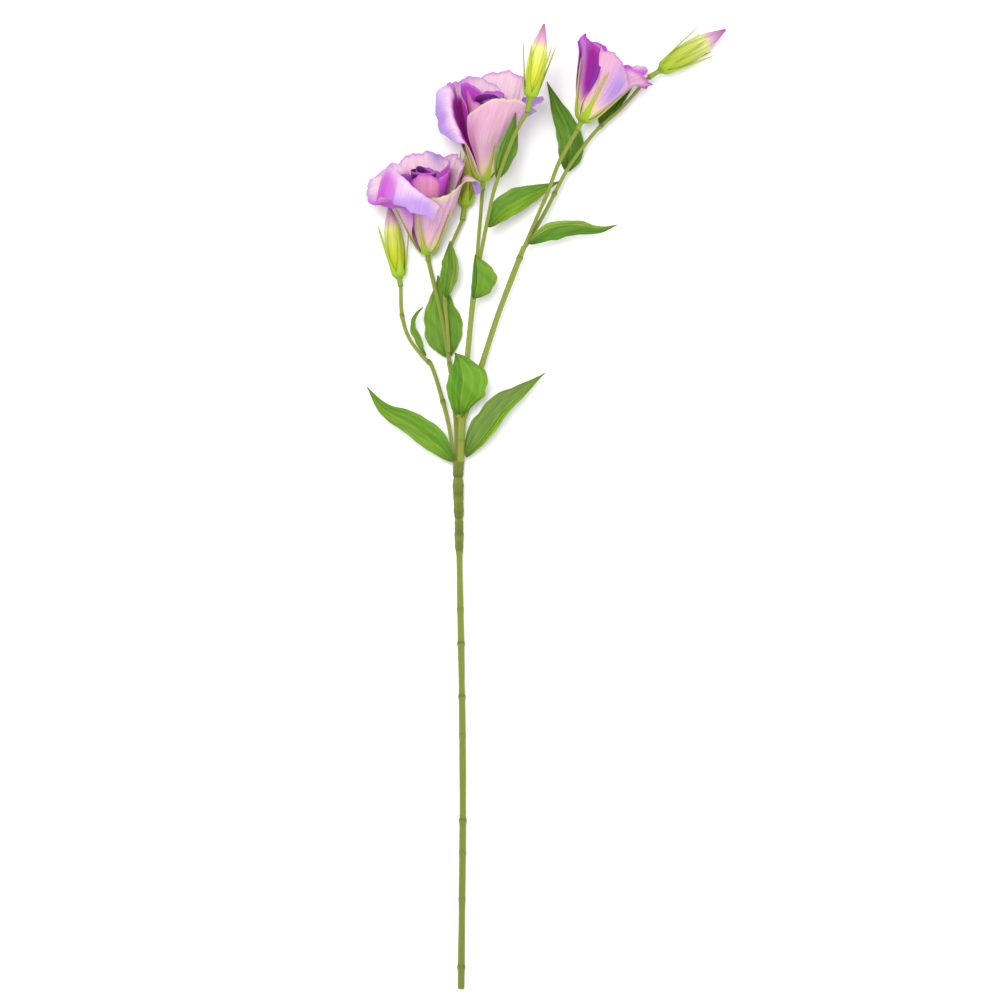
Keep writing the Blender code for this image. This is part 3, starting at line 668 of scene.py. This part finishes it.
# ---- leaves ----

MIDRIB_GREEN = srgb(150, 180, 90)
# Painted shadow: the dark green towards a leaf's foot, where it meets its stem
FOOT_SHADE_GREEN = srgb(50, 98, 22)
EDGE_GREEN = srgb(128, 150, 62)
UNDER_GREEN = srgb(130, 160, 110)
GROOVE_DEPTH, GROOVE_WIDTH = 0.35, 0.8  # along the midrib
MIDRIB_WIDTH = 0.45


def leaf(piece, material):
    path = smooth_path(piece.points, LEAF_ROWS)
    headings = tangents(path)
    share = np.linspace(0, 1, LEAF_ROWS + 1)
    rising = np.sin(np.clip(share / piece.widest, 0, 1) * math.pi / 2) ** 0.7
    falling = np.sin(np.clip((1 - share) / (1 - piece.widest), 0, 1) * math.pi / 2) ** 1.3
    swell = np.where(share < piece.widest, rising, falling)
    across = np.linspace(-1, 1, LEAF_COLUMNS + 1)
    seed = seed_of(piece.name)
    length = sum((b - a).length for a, b in zip(path, path[1:]))
    grid = np.zeros((LEAF_ROWS + 1, LEAF_COLUMNS + 1, 3))
    face = Vector(piece.face)
    half_width = np.where(across < 0, *piece.half_widths)
    widths = np.zeros(grid.shape[:2])
    for i, (point, heading) in enumerate(zip(path, headings)):
        side = heading.cross(face).normalized()
        normal = side.cross(heading)
        place = share[i] * 1.8 + np.where(across < 0, 0.4, 0)
        uneven = 1 + EDGE_WAVE * waves(place, seed + 4, 0.6, 0.5, 0.3)
        width = across * (LEAF_TIP + half_width * swell[i] * uneven)
        fold = np.radians(np.where(across < 0, *piece.folds)) * (1 - 0.3 * abs(across))
        ripple = waves(share[i] * 1.6 + across * 0.3, seed, 0.45, 0.4, 0.2) * swell[i] * abs(across) ** 1.5
        groove = GROOVE_DEPTH * np.exp(-(width / GROOVE_WIDTH) ** 2) * swell[i]
        lift = abs(width) * np.sin(fold) + ripple - groove
        grid[i] = (np.array(point) + np.outer(width * np.cos(fold), np.array(side))
                   + np.outer(lift, np.array(normal)))
        widths[i] = width
    points, faces = sheet(grid, LEAF_THICKNESS, np.array(face))
    upper = np.where(across[:, None] < 0, srgb(*piece.tints[0]), srgb(*piece.tints[1]))
    plain = np.repeat(upper[None], LEAF_ROWS + 1, 0)
    midrib = np.exp(-(widths / MIDRIB_WIDTH) ** 2)
    tints = mixed(plain, MIDRIB_GREEN, midrib * 0.28)
    # painted shadow: darker towards the leaf's foot, where it joins the stem
    tints = mixed(tints, FOOT_SHADE_GREEN, smooth(1 - share / 0.22)[:, None] * 0.55)
    blotch = 0.5 + waves(share[:, None] * 1.7 + across * 0.6, seed + 6, 0.3, 0.25, 0.2)
    tints = mixed(tints, tints * 0.55, np.clip(blotch, 0, 1) * 0.42)
    edge = smooth((abs(across) - 0.88) / 0.12)
    tints = mixed(tints, EDGE_GREEN, edge * 0.5)
    under = mixed(plain, UNDER_GREEN, 0.6)
    uvs = np.stack([np.repeat(across[None] * 1.6, LEAF_ROWS + 1, 0),
                    np.repeat((share * length / 8)[:, None], LEAF_COLUMNS + 1, 1)], -1)
    make_piece(piece.name, points, faces, np.concatenate([tints, under]), np.concatenate([uvs, uvs]),
               material, "leaf")


# ---- petals ----

CREAM = srgb(242, 216, 190)
GREENISH = srgb(228, 224, 150)
PINK = srgb(231, 188, 210)
BEIGE = srgb(236, 210, 220)
ROSE = srgb(224, 150, 190)
LAVENDER = srgb(190, 156, 222)
BLUE_LAVENDER = srgb(160, 132, 210)
MAUVE = srgb(202, 128, 210)
MAGENTA = srgb(196, 78, 204)
# Painted shade: the petals' magenta darkened as it looks in deep shade, used where they lie in shadow
SHADED_MAGENTA = srgb(164, 32, 152)
# Painted shade: the heart's purple, darkened for the shade deep in a flower's centre
CENTRE_SHADE_PURPLE = srgb(76, 2, 88)
PALE = srgb(240, 216, 238)
VIOLET = srgb(140, 50, 160)
RIM_GREEN = srgb(226, 228, 176)

# How a petal is coloured: its outer and its inner face, its rim and how far that colour reaches in, patches,
# and the inner face below the lip, where it differs. A patch lies on one face, at a place across the petal
# (-1 to 1) and a share of the way up, and is so wide and so tall in the same measures.
Look = namedtuple("Look", "outside inside rim rim_width patches throat", defaults=(None,))
Patch = namedtuple("Patch", "side across share wide tall colour strength")
LOOKS = {
    "left_flower": (
        (
            Look(PINK, PALE, LAVENDER, 2, (
                Patch("inside", -0.55, 1.0, 0.95, 0.36, MAUVE, 1.6),
                Patch("inside", -0.6, 1.0, 0.6, 0.26, MAGENTA, 0.8),
                # painted highlight: a pale band along the fold where the lip turns out
                Patch("inside", -0.35, 0.76, 0.5, 0.08, PALE, 0.8),
                Patch("inside", 0.6, 0.97, 0.7, 0.2, LAVENDER, 1.5),
                Patch("inside", 0.0, 1.0, 0.5, 0.1, BLUE_LAVENDER, 0.7),
                # painted shade: the shaded outer face of its left side, magenta darkened
                Patch("outside", -1.0, 0.45, 0.45, 0.4, SHADED_MAGENTA, 1.2)), MAGENTA),
            Look(PINK, PINK, RIM_GREEN, 9, (
                Patch("outside", 1.0, 1.0, 0.45, 0.3, LAVENDER, 1.4),
                Patch("inside", 1.0, 1.0, 0.5, 0.3, LAVENDER, 1.4))),
            Look(PINK, BEIGE, MAUVE, 3, ()),
            Look(PINK, BEIGE, MAUVE, 3, (
                Patch("inside", -0.5, 1.0, 0.42, 0.2, BLUE_LAVENDER, 0.85),)),
            Look(PINK, BEIGE, LAVENDER, 5, (
                Patch("inside", 0.8, 1.0, 0.7, 0.35, MAGENTA, 1.0),
                Patch("inside", 0.6, 0.1, 1.2, 0.6, PINK, 3.0),
                Patch("outside", 0.9, 0.85, 0.6, 0.5, MAUVE, 1.4)), MAGENTA),
        ),
        (
            Look(ROSE, MAGENTA, MAGENTA, 3, (
                Patch("outside", 0.9, 0.9, 0.5, 0.5, MAGENTA, 1.2),
                Patch("outside", -0.9, 1.0, 0.7, 0.4, MAGENTA, 1.2))),
            Look(MAGENTA, MAGENTA, MAUVE, 2, ()),
            Look(MAGENTA, MAUVE, MAGENTA, 3, ()),
            Look(MAGENTA, MAGENTA, MAUVE, 3, ()),
        ),
    ),
    "middle_flower": (
        (
            Look(PINK, PALE, BLUE_LAVENDER, 2, (
                Patch("inside", 0.4, 1.0, 1.0, 0.25, LAVENDER, 1.5),
                Patch("inside", 0.3, 1.0, 0.6, 0.1, BLUE_LAVENDER, 0.5),
                # its throat: magenta with the shadow deep inside the flower painted in
                Patch("inside", -0.9, 1.0, 0.8, 0.3, MAUVE, 1.7)), SHADED_MAGENTA),
            Look(PINK, PINK, RIM_GREEN, 3, (
                Patch("outside", -0.75, 0.5, 0.4, 0.5, ROSE, 1.2),
                Patch("outside", 1.0, 0.9, 0.6, 0.5, LAVENDER, 1.2),
                Patch("inside", 1.0, 0.9, 0.6, 0.5, LAVENDER, 1.2))),
            Look(LAVENDER, LAVENDER, LAVENDER, 3, (
                Patch("outside", -1.0, 0.8, 0.3, 0.5, MAGENTA, 1.5),
                Patch("inside", -1.0, 0.8, 0.3, 0.5, MAGENTA, 1.5),
                Patch("inside", 0.4, 1.0, 0.5, 0.2, MAUVE, 0.9))),
            Look(PINK, BEIGE, MAUVE, 3, ()),
            Look(PINK, BEIGE, LAVENDER, 3, (
                Patch("inside", 0.2, 0.97, 0.8, 0.1, MAUVE, 0.8),
                # its throat: magenta with the shadow deep inside the flower painted in
                Patch("inside", 1.0, 0.3, 0.4, 0.45, PINK, 2.5)), SHADED_MAGENTA),
        ),
        (
            # its inner face: magenta with painted shade
            Look(ROSE, SHADED_MAGENTA, MAGENTA, 3, ()),
            Look(MAGENTA, MAGENTA, MAUVE, 3, ()),
            Look(MAGENTA, MAUVE, MAGENTA, 3, ()),
            # its outer face: magenta with painted shade
            Look(SHADED_MAGENTA, MAGENTA, MAUVE, 3, ()),
        ),
    ),
    "right_flower": (
        (
            Look(PINK, MAGENTA, MAUVE, 2, (
                Patch("outside", 0.7, 0.65, 0.7, 0.5, LAVENDER, 1.1),)),
            Look(PINK, MAGENTA, MAGENTA, 4, ()),
            Look(MAGENTA, MAGENTA, MAUVE, 3, (
                Patch("inside", -0.2, 1.0, 0.45, 0.22, BEIGE, 1.4),)),
            Look(MAUVE, MAGENTA, MAGENTA, 5, ()),
            Look(MAUVE, MAGENTA, MAGENTA, 3, (
                # painted shade: the shadow in the fold on its outer face, magenta and violet darkened
                Patch("outside", 0.8, 0.65, 0.75, 0.6, SHADED_MAGENTA, 1.6),
                Patch("outside", 0.9, 0.6, 0.45, 0.45, VIOLET, 1.0))),
        ),
        (),
    ),
}


def petal(name, stand, shape, look, start, cone, spiral, ruffle, material, slot):
    """One petal, as a sheet over u, from its left edge to its right one, and its share of the way up."""
    u = np.linspace(-1, 1, PETAL_COLUMNS + 1)
    seed = seed_of(name)
    left, tall, right = shape.lengths
    length = tall + (np.where(u < 0, left, right) - tall) * abs(u) ** shape.corners
    uneven = waves(u * 1.2, seed + 1, 0.6, 0.4, 0.22, 0.12) * (1 - abs(u) ** 6)
    length = length + uneven * min(1, ruffle / OUTER_RUFFLE)
    share = np.linspace(0, 1, PETAL_ROWS + 1)[:, None]
    along = share * length
    rounding = BASE_ROUNDING * np.clip(1 - along / BASE_ROUND_LENGTH, 0, None) ** 2
    turned = smooth((along - through(shape.lip_starts, u)) / LIP_BEND)
    heading = np.radians(cone + through(shape.leans, u) * smooth(along / LEAN_LENGTH) + rounding
                         + through(shape.lips, u) * turned)
    step = length / PETAL_ROWS
    climbs = np.stack([np.sin(heading) * step, np.cos(heading) * step])
    middles = (climbs[:, 1:] + climbs[:, :-1]) / 2
    profile = np.concatenate([np.zeros((2, 1, len(u))), np.cumsum(middles, 1)], 1)
    radius, height = start[0] + profile[0], start[1] + profile[1]
    offset = u * (spiral[0] + (spiral[1] - spiral[0]) * smooth(along / SPIRAL_LENGTH))
    wave = waves(u * 0.8, seed, 0.9, 0.5, 0.14) * (0.5 + 0.5 * abs(u))
    wave = wave + waves(u * 0.9 + share * 0.5, seed + 2, 0.3)
    pleats = waves(u * 2.6 + 0.2 * share, seed + 3, 0.22, 0.16, 0.08) * smooth((share - 0.1) / 0.4)
    offset = offset + ruffle * (wave * smooth((share - 0.55) / 0.45) + 0.7 * pleats)
    half_width = np.where(u < 0, *shape.half_widths)
    foot = BASE_SHARE * start[0]
    width = foot + (half_width - foot) * smooth(along / min(WIDENING_SHARE * tall, WIDENING_LENGTH))
    azimuth = np.radians(shape.azimuth + shape.turn * smooth(along / tall)) + u * width / radius
    radius = radius + offset * np.cos(heading)
    height = height - offset * np.sin(heading)
    grid, outward = in_stand(stand, radius, height, azimuth)
    points, faces = sheet(grid, PETAL_THICKNESS, outward * np.cos(heading)[..., None]
                          - np.array(axes_of(stand)[0]) * np.sin(heading)[..., None])
    shares = np.broadcast_to(share, along.shape)
    across = np.broadcast_to(u, along.shape)
    from_rim = np.minimum(length - along, (1 - abs(u)) * half_width * 0.9 + 0.4 * (length - along))
    lip_start = through(shape.lip_starts, u)
    outside = petal_tints(look.outside, look, shares, across, along, from_rim, lip_start, "outside")
    inside = petal_tints(look.inside, look, shares, across, along, from_rim, lip_start, "inside")
    uvs = np.stack([across * 2.0, along / 10], -1)
    make_piece(name, points, faces, np.concatenate([outside, inside]), np.concatenate([uvs, uvs]),
               material, slot)


def petal_tints(body, look, share, across, along, from_rim, lip_start, side):
    """The colours of one face of a petal: cream and green at its base, its body, its rim and its patches."""
    tints = np.broadcast_to(body, share.shape + (3,))
    tints = mixed(tints, CREAM, 1 - smooth((along - 6) / 18))
    tints = mixed(tints, GREENISH, (1 - smooth((along - 4) / 9)) * 0.8)
    tints = mixed(tints, look.rim, (1 - smooth(from_rim / look.rim_width)) * 0.85)
    if look.throat is not None and side == "inside":
        tints = mixed(tints, look.throat, 1 - smooth((along - lip_start - 1) / 5))
    for patch in look.patches:
        if patch.side == side:
            away = ((across - patch.across) / patch.wide) ** 2 + ((share - patch.share) / patch.tall) ** 2
            tints = mixed(tints, patch.colour, np.minimum(1, patch.strength * (1 - smooth(np.sqrt(away)))))
    return tints


def heart(name, stand, tall, material):
    """The innermost petals, rolled round each other."""
    turns = np.linspace(0, 1, HEART_COLUMNS + 1)
    share = np.linspace(0, 1, HEART_ROWS + 1)[:, None]
    seed = seed_of(name)
    top = tall + 2.5 * np.sin(turns * 11 + seed)
    height = HEART[0][0] + share * (top - HEART[0][0])
    outer = np.interp(height, [h for h, r in HEART], [r for h, r in HEART])
    radius = outer * (HEART_CORE + (1 - HEART_CORE) * turns) + waves(turns * 4, seed, 0.25, 0.2) * share ** 2
    radius = radius * (1 + 0.12 * smooth((share - 0.8) / 0.2))
    grid, outward = in_stand(stand, radius, height, turns * math.tau * HEART_TURNS + seed % 7)
    points, faces = sheet(grid, PETAL_THICKNESS, outward)
    shares = np.broadcast_to(share, grid.shape[:2])
    # Painted shade: the heart is nearly black purple for the shade deep in the flower, lighter only at its
    # top edge; its inner face is a darker copy, painted deeper shade
    outside = steps(shares, (0, CENTRE_SHADE_PURPLE), (0.95, CENTRE_SHADE_PURPLE), (0.99, VIOLET), (1, MAUVE))
    inside = steps(shares, (0, CENTRE_SHADE_PURPLE * 0.4), (0.9, CENTRE_SHADE_PURPLE * 0.6), (1, VIOLET * 0.8))
    uvs = np.stack(np.broadcast_arrays(turns * 12, height / 10), -1)
    make_piece(name, points, faces, np.concatenate([outside, inside]), np.concatenate([uvs, uvs]),
               material, "inner_petal")


# ---- buds ----


def bud(name, stand, radius, tall, material):
    """Five petals furled round each other into a spindle, each one's edge a step over the next."""
    share = np.linspace(0, 1, BUD_ROWS + 1)[:, None]
    turns = np.arange(BUD_COLUMNS)[None] / BUD_COLUMNS
    outline = np.interp(share, *zip(*BUD_OUTLINE))
    outline = np.array([np.convolve(np.pad(outline[:, 0], 3, mode="edge"), np.ones(7) / 7, "valid")]).T
    furl = (turns * PETAL_COUNT - share * BUD_TWIST * PETAL_COUNT / math.tau - 0.25 * share ** 3) % 1
    overlap = smooth(furl / 0.12) * (1 - 0.9 * furl)
    radius = radius * outline * (0.9 + 0.12 * overlap)
    height = BUD_FOOT + (tall - BUD_FOOT) * share
    azimuth = turns * math.tau
    points, faces = revolved(stand, radius, np.broadcast_to(height, radius.shape), azimuth)
    shares = np.broadcast_to(share, radius.shape)
    body, pale, tip, end = (srgb(*c) for c in BUD_TINTS[name])
    tints = steps(shares, (0, body * 0.7), (0.3, body), (0.55, (body + pale) / 2), (0.66, pale), (0.78, tip),
                  (1, end))
    # painted shade: a dark line along each step, where one petal's edge lies over the next
    step_shade = np.exp(-(furl / 0.07) ** 2) + np.exp(-((1 - furl) / 0.05) ** 2)
    tints = mixed(tints, tints * 0.62, np.clip(step_shade, 0, 1) * 0.8)
    uvs = np.stack(np.broadcast_arrays(turns * 10 - share * 1.4, height / 10), -1)
    make_piece(name, points, faces, tints, uvs, material, "bud")


# ---- calyxes ----

CALYX_GREEN = srgb(136, 166, 30)
SEPAL_YELLOW = srgb(158, 172, 40)
SEPAL_TIP = srgb(170, 170, 70)


def calyx(name, stand, cup, sepal, material):
    """A cup on a short sleeve, with five needle sepals out of its rim, all one mesh."""
    rim_radius, rim_height = cup
    sleeve = stand.sleeve
    # Radius and height, up the outside from the sleeve's foot and down into the cup
    outline = ((1.5, -sleeve), (1.72, -sleeve + 0.3), (1.6, -1.6), (1.9, -0.6), (0.62 * rim_radius, 0.6),
               (0.86 * rim_radius, 2.0), (rim_radius, rim_height), (rim_radius - 0.3, rim_height + 0.3),
               (rim_radius - 0.7, rim_height), (0.7 * rim_radius - 0.4, 2.0), (0.6, 1.9))
    path = smooth_path([(r, h, 0) for r, h in outline], CALYX_SPANS)
    radius = np.array([p.x for p in path])[:, None]
    height = np.array([p.y for p in path])[:, None]
    turns = np.arange(CUP_SIDES)[None] / CUP_SIDES
    first = math.radians(stand.sepals_from)
    near = np.cos(SEPAL_COUNT * turns * math.tau)
    rise = smooth((height - 0.5) / rim_height)
    radius = radius * (1 + 0.05 * near * rise)
    height = height + 0.45 * (near - 1) * rise
    points, faces = revolved(stand, radius, height, turns * math.tau + first)
    tall = np.broadcast_to(height, radius.shape)
    tints = steps(tall, (-sleeve, STEM_DARK * 1.6), (-sleeve + 1, CALYX_GREEN * 0.75),
                  (0, CALYX_GREEN * 0.8), (rim_height, CALYX_GREEN * 1.1))
    uvs = np.stack(np.broadcast_arrays(turns * 8, height / 8), -1).reshape(-1, 2)
    tints = tints.reshape(-1, 3)
    for k in range(SEPAL_COUNT):
        azimuth = first + math.tau * k / SEPAL_COUNT
        line = [(rim_radius * 0.82, rim_height * 0.45), (rim_radius, rim_height), *sepal]
        run = smooth_path([(r, h, 0) for r, h in line], SEPAL_ROWS)
        t = np.linspace(0, 1, SEPAL_ROWS + 1)
        half = np.interp(t, SEPAL_SHARES, SEPAL_HALF_WIDTHS)
        across = np.linspace(-1, 1, SEPAL_COLUMNS + 1)
        r = np.array([p.x for p in run])[:, None]
        h = np.array([p.y for p in run])[:, None]
        bent = waves(t * 0.8, seed_of(name) + k, 0.35)[:, None] * t[:, None]
        keel = SEPAL_KEEL * (1 - abs(across)) * np.minimum(1, half / 0.6)[:, None]
        rr = r + keel
        grid, outward = in_stand(stand, rr, np.broadcast_to(h, rr.shape),
                                 azimuth + (half[:, None] * across + bent) / np.maximum(r, 1))
        more, more_faces = sheet(grid, SEPAL_THICKNESS, outward, SEPAL_RIM)
        count = len(points)
        points = np.concatenate([points, more])
        faces = faces + [tuple(v + count for v in face) for face in more_faces]
        line_tints = steps(t, (0, CALYX_GREEN), (0.15, CALYX_GREEN * 1.15), (0.4, SEPAL_YELLOW),
                           (0.85, SEPAL_YELLOW), (1, SEPAL_TIP))
        tint = np.repeat(line_tints[:, None], SEPAL_COLUMNS + 1, 1)
        tints = np.concatenate([tints, tint.reshape(-1, 3), tint.reshape(-1, 3) * 0.9])
        uv = np.stack(np.broadcast_arrays(across[None] * 0.5, t[:, None] * 4), -1).reshape(-1, 2)
        uvs = np.concatenate([uvs, uv, uv])
    make_piece(name, points, faces, tints, uvs, material, "calyx")


def flower_sepal(length):
    """Radius and height along a sepal that lies on the outside of the petals."""
    radius, height = OUTER_START
    line = []
    for k in range(SEPAL_STEPS):
        along = length * k / SEPAL_STEPS
        heading = math.radians(CONE + BASE_ROUNDING * max(0, 1 - along / BASE_ROUND_LENGTH) ** 2)
        out = radius + SEPAL_CLEARANCE * math.cos(heading)
        up = height - SEPAL_CLEARANCE * math.sin(heading)
        if up > FLOWER_CUP[1] + 1:
            line.append((out, up))
        radius += math.sin(heading) * length / SEPAL_STEPS
        height += math.cos(heading) * length / SEPAL_STEPS
    return line[::SEPAL_KNOT] + [line[-1]]


def bud_sepal(spread):
    """Radius and height along a straight sepal that tilts out from its bud."""
    tilt = math.radians(spread)
    lengths = np.linspace(0.12, 1, 5) * SEPAL_LENGTH
    return [(BUD_CUP[0] + s * math.sin(tilt), BUD_CUP[1] + s * math.cos(tilt)) for s in lengths]


# ---- the scene ----


def light(name, place, size, power):
    """A square lamp that looks at the origin."""
    lamp = bpy.data.lights.new(name, "AREA")
    lamp.size = size
    lamp.energy = power
    obj = bpy.data.objects.new(name, lamp)
    obj.location = place
    obj.rotation_euler = (Vector(place) * -1).to_track_quat("-Z", "Y").to_euler()
    bpy.context.scene.collection.objects.link(obj)


def stage():
    """The floor, the lights and the camera, which looks straight down."""
    mesh = bpy.data.meshes.new("floor")
    half = FLOOR_HALF
    corners = [(-half, -half, 0), (half, -half, 0), (half, half, 0), (-half, half, 0)]
    mesh.from_pydata(corners, [], [(0, 1, 2, 3)])
    floor = bpy.data.objects.new("floor", mesh)
    n = Nodes("floor")
    shader = n.add("ShaderNodeBsdfDiffuse", {"Color": (FLOOR_GREY, FLOOR_GREY, FLOOR_GREY, 1)}).outputs[0]
    n.add("ShaderNodeOutputMaterial", {"Surface": shader})
    mesh.materials.append(n.material)
    bpy.context.scene.collection.objects.link(floor)
    world = bpy.data.worlds.new("studio")
    world.use_nodes = True
    background = world.node_tree.nodes["Background"]
    background.inputs["Color"].default_value = (1, 1, 1, 1)
    background.inputs["Strength"].default_value = WORLD_LIGHT
    bpy.context.scene.world = world
    light("key", KEY_PLACE, KEY_SIZE, KEY_POWER)
    light("fill", FILL_PLACE, FILL_SIZE, FILL_POWER)
    bpy.context.scene.view_settings.view_transform = "Standard"
    camera = bpy.data.cameras.new("camera")
    camera.lens = CAMERA_LENS
    camera.sensor_width = CAMERA_SENSOR
    camera.clip_end = 20
    obj = bpy.data.objects.new("camera", camera)
    obj.location = CAMERA_PLACE
    bpy.context.scene.collection.objects.link(obj)
    bpy.context.scene.camera = obj


STANDS = {name: parts[0] for name, parts in FLOWERS.items()} | BUDS

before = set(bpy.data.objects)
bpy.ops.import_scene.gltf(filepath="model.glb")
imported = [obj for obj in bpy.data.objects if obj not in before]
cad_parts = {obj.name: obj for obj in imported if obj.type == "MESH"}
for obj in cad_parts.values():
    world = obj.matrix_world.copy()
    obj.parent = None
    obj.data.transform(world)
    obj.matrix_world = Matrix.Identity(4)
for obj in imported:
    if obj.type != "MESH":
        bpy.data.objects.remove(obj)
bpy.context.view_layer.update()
stage()

stem_skin = stem_material("stem", 0.55, 0.4)
sleeve_skin = stem_material("sleeve", 0.75, 0.9)
leaf_skin = leaf_material("leaf")
calyx_skin = stem_material("calyx", 0.5, 0.3)
bud_skin = bud_material("bud")
petal_skin = petal_material("petal", 0.3)
inner_skin = petal_material("inner_petal", 0.2)

for piece in STEMS:
    stem(piece, sleeve_skin if piece.name == "stem_sleeve" else stem_skin)
for piece in LEAVES:
    leaf(piece, leaf_skin)
for name, (stand, outer, inner) in FLOWERS.items():
    for i, shape in enumerate(outer, 1):
        petal(f"{name}_outer_petal_{i}", stand, shape, LOOKS[name][0][i - 1], OUTER_START, CONE,
              OUTER_SPIRAL, OUTER_RUFFLE, petal_skin, "petal")
    for i, shape in enumerate(inner, 1):
        petal(f"{name}_inner_petal_{i}", stand, shape, LOOKS[name][1][i - 1], INNER_START, INNER_CONE,
              INNER_SPIRAL, INNER_RUFFLE, inner_skin, "inner_petal")
    if inner:
        heart(f"{name}_heart", stand, HEART_TOPS[name], inner_skin)
    calyx(f"{name}_calyx", stand, FLOWER_CUP, flower_sepal(FLOWER_SEPALS[name]), calyx_skin)
for name, stand in BUDS.items():
    bud(name, stand, *BUD_SIZES.get(name, (BUD_RADIUS, BUD_LENGTH)), bud_skin)
    calyx(f"{name}_calyx", stand, BUD_CUP, bud_sepal(BUD_SPREAD[name]), calyx_skin)
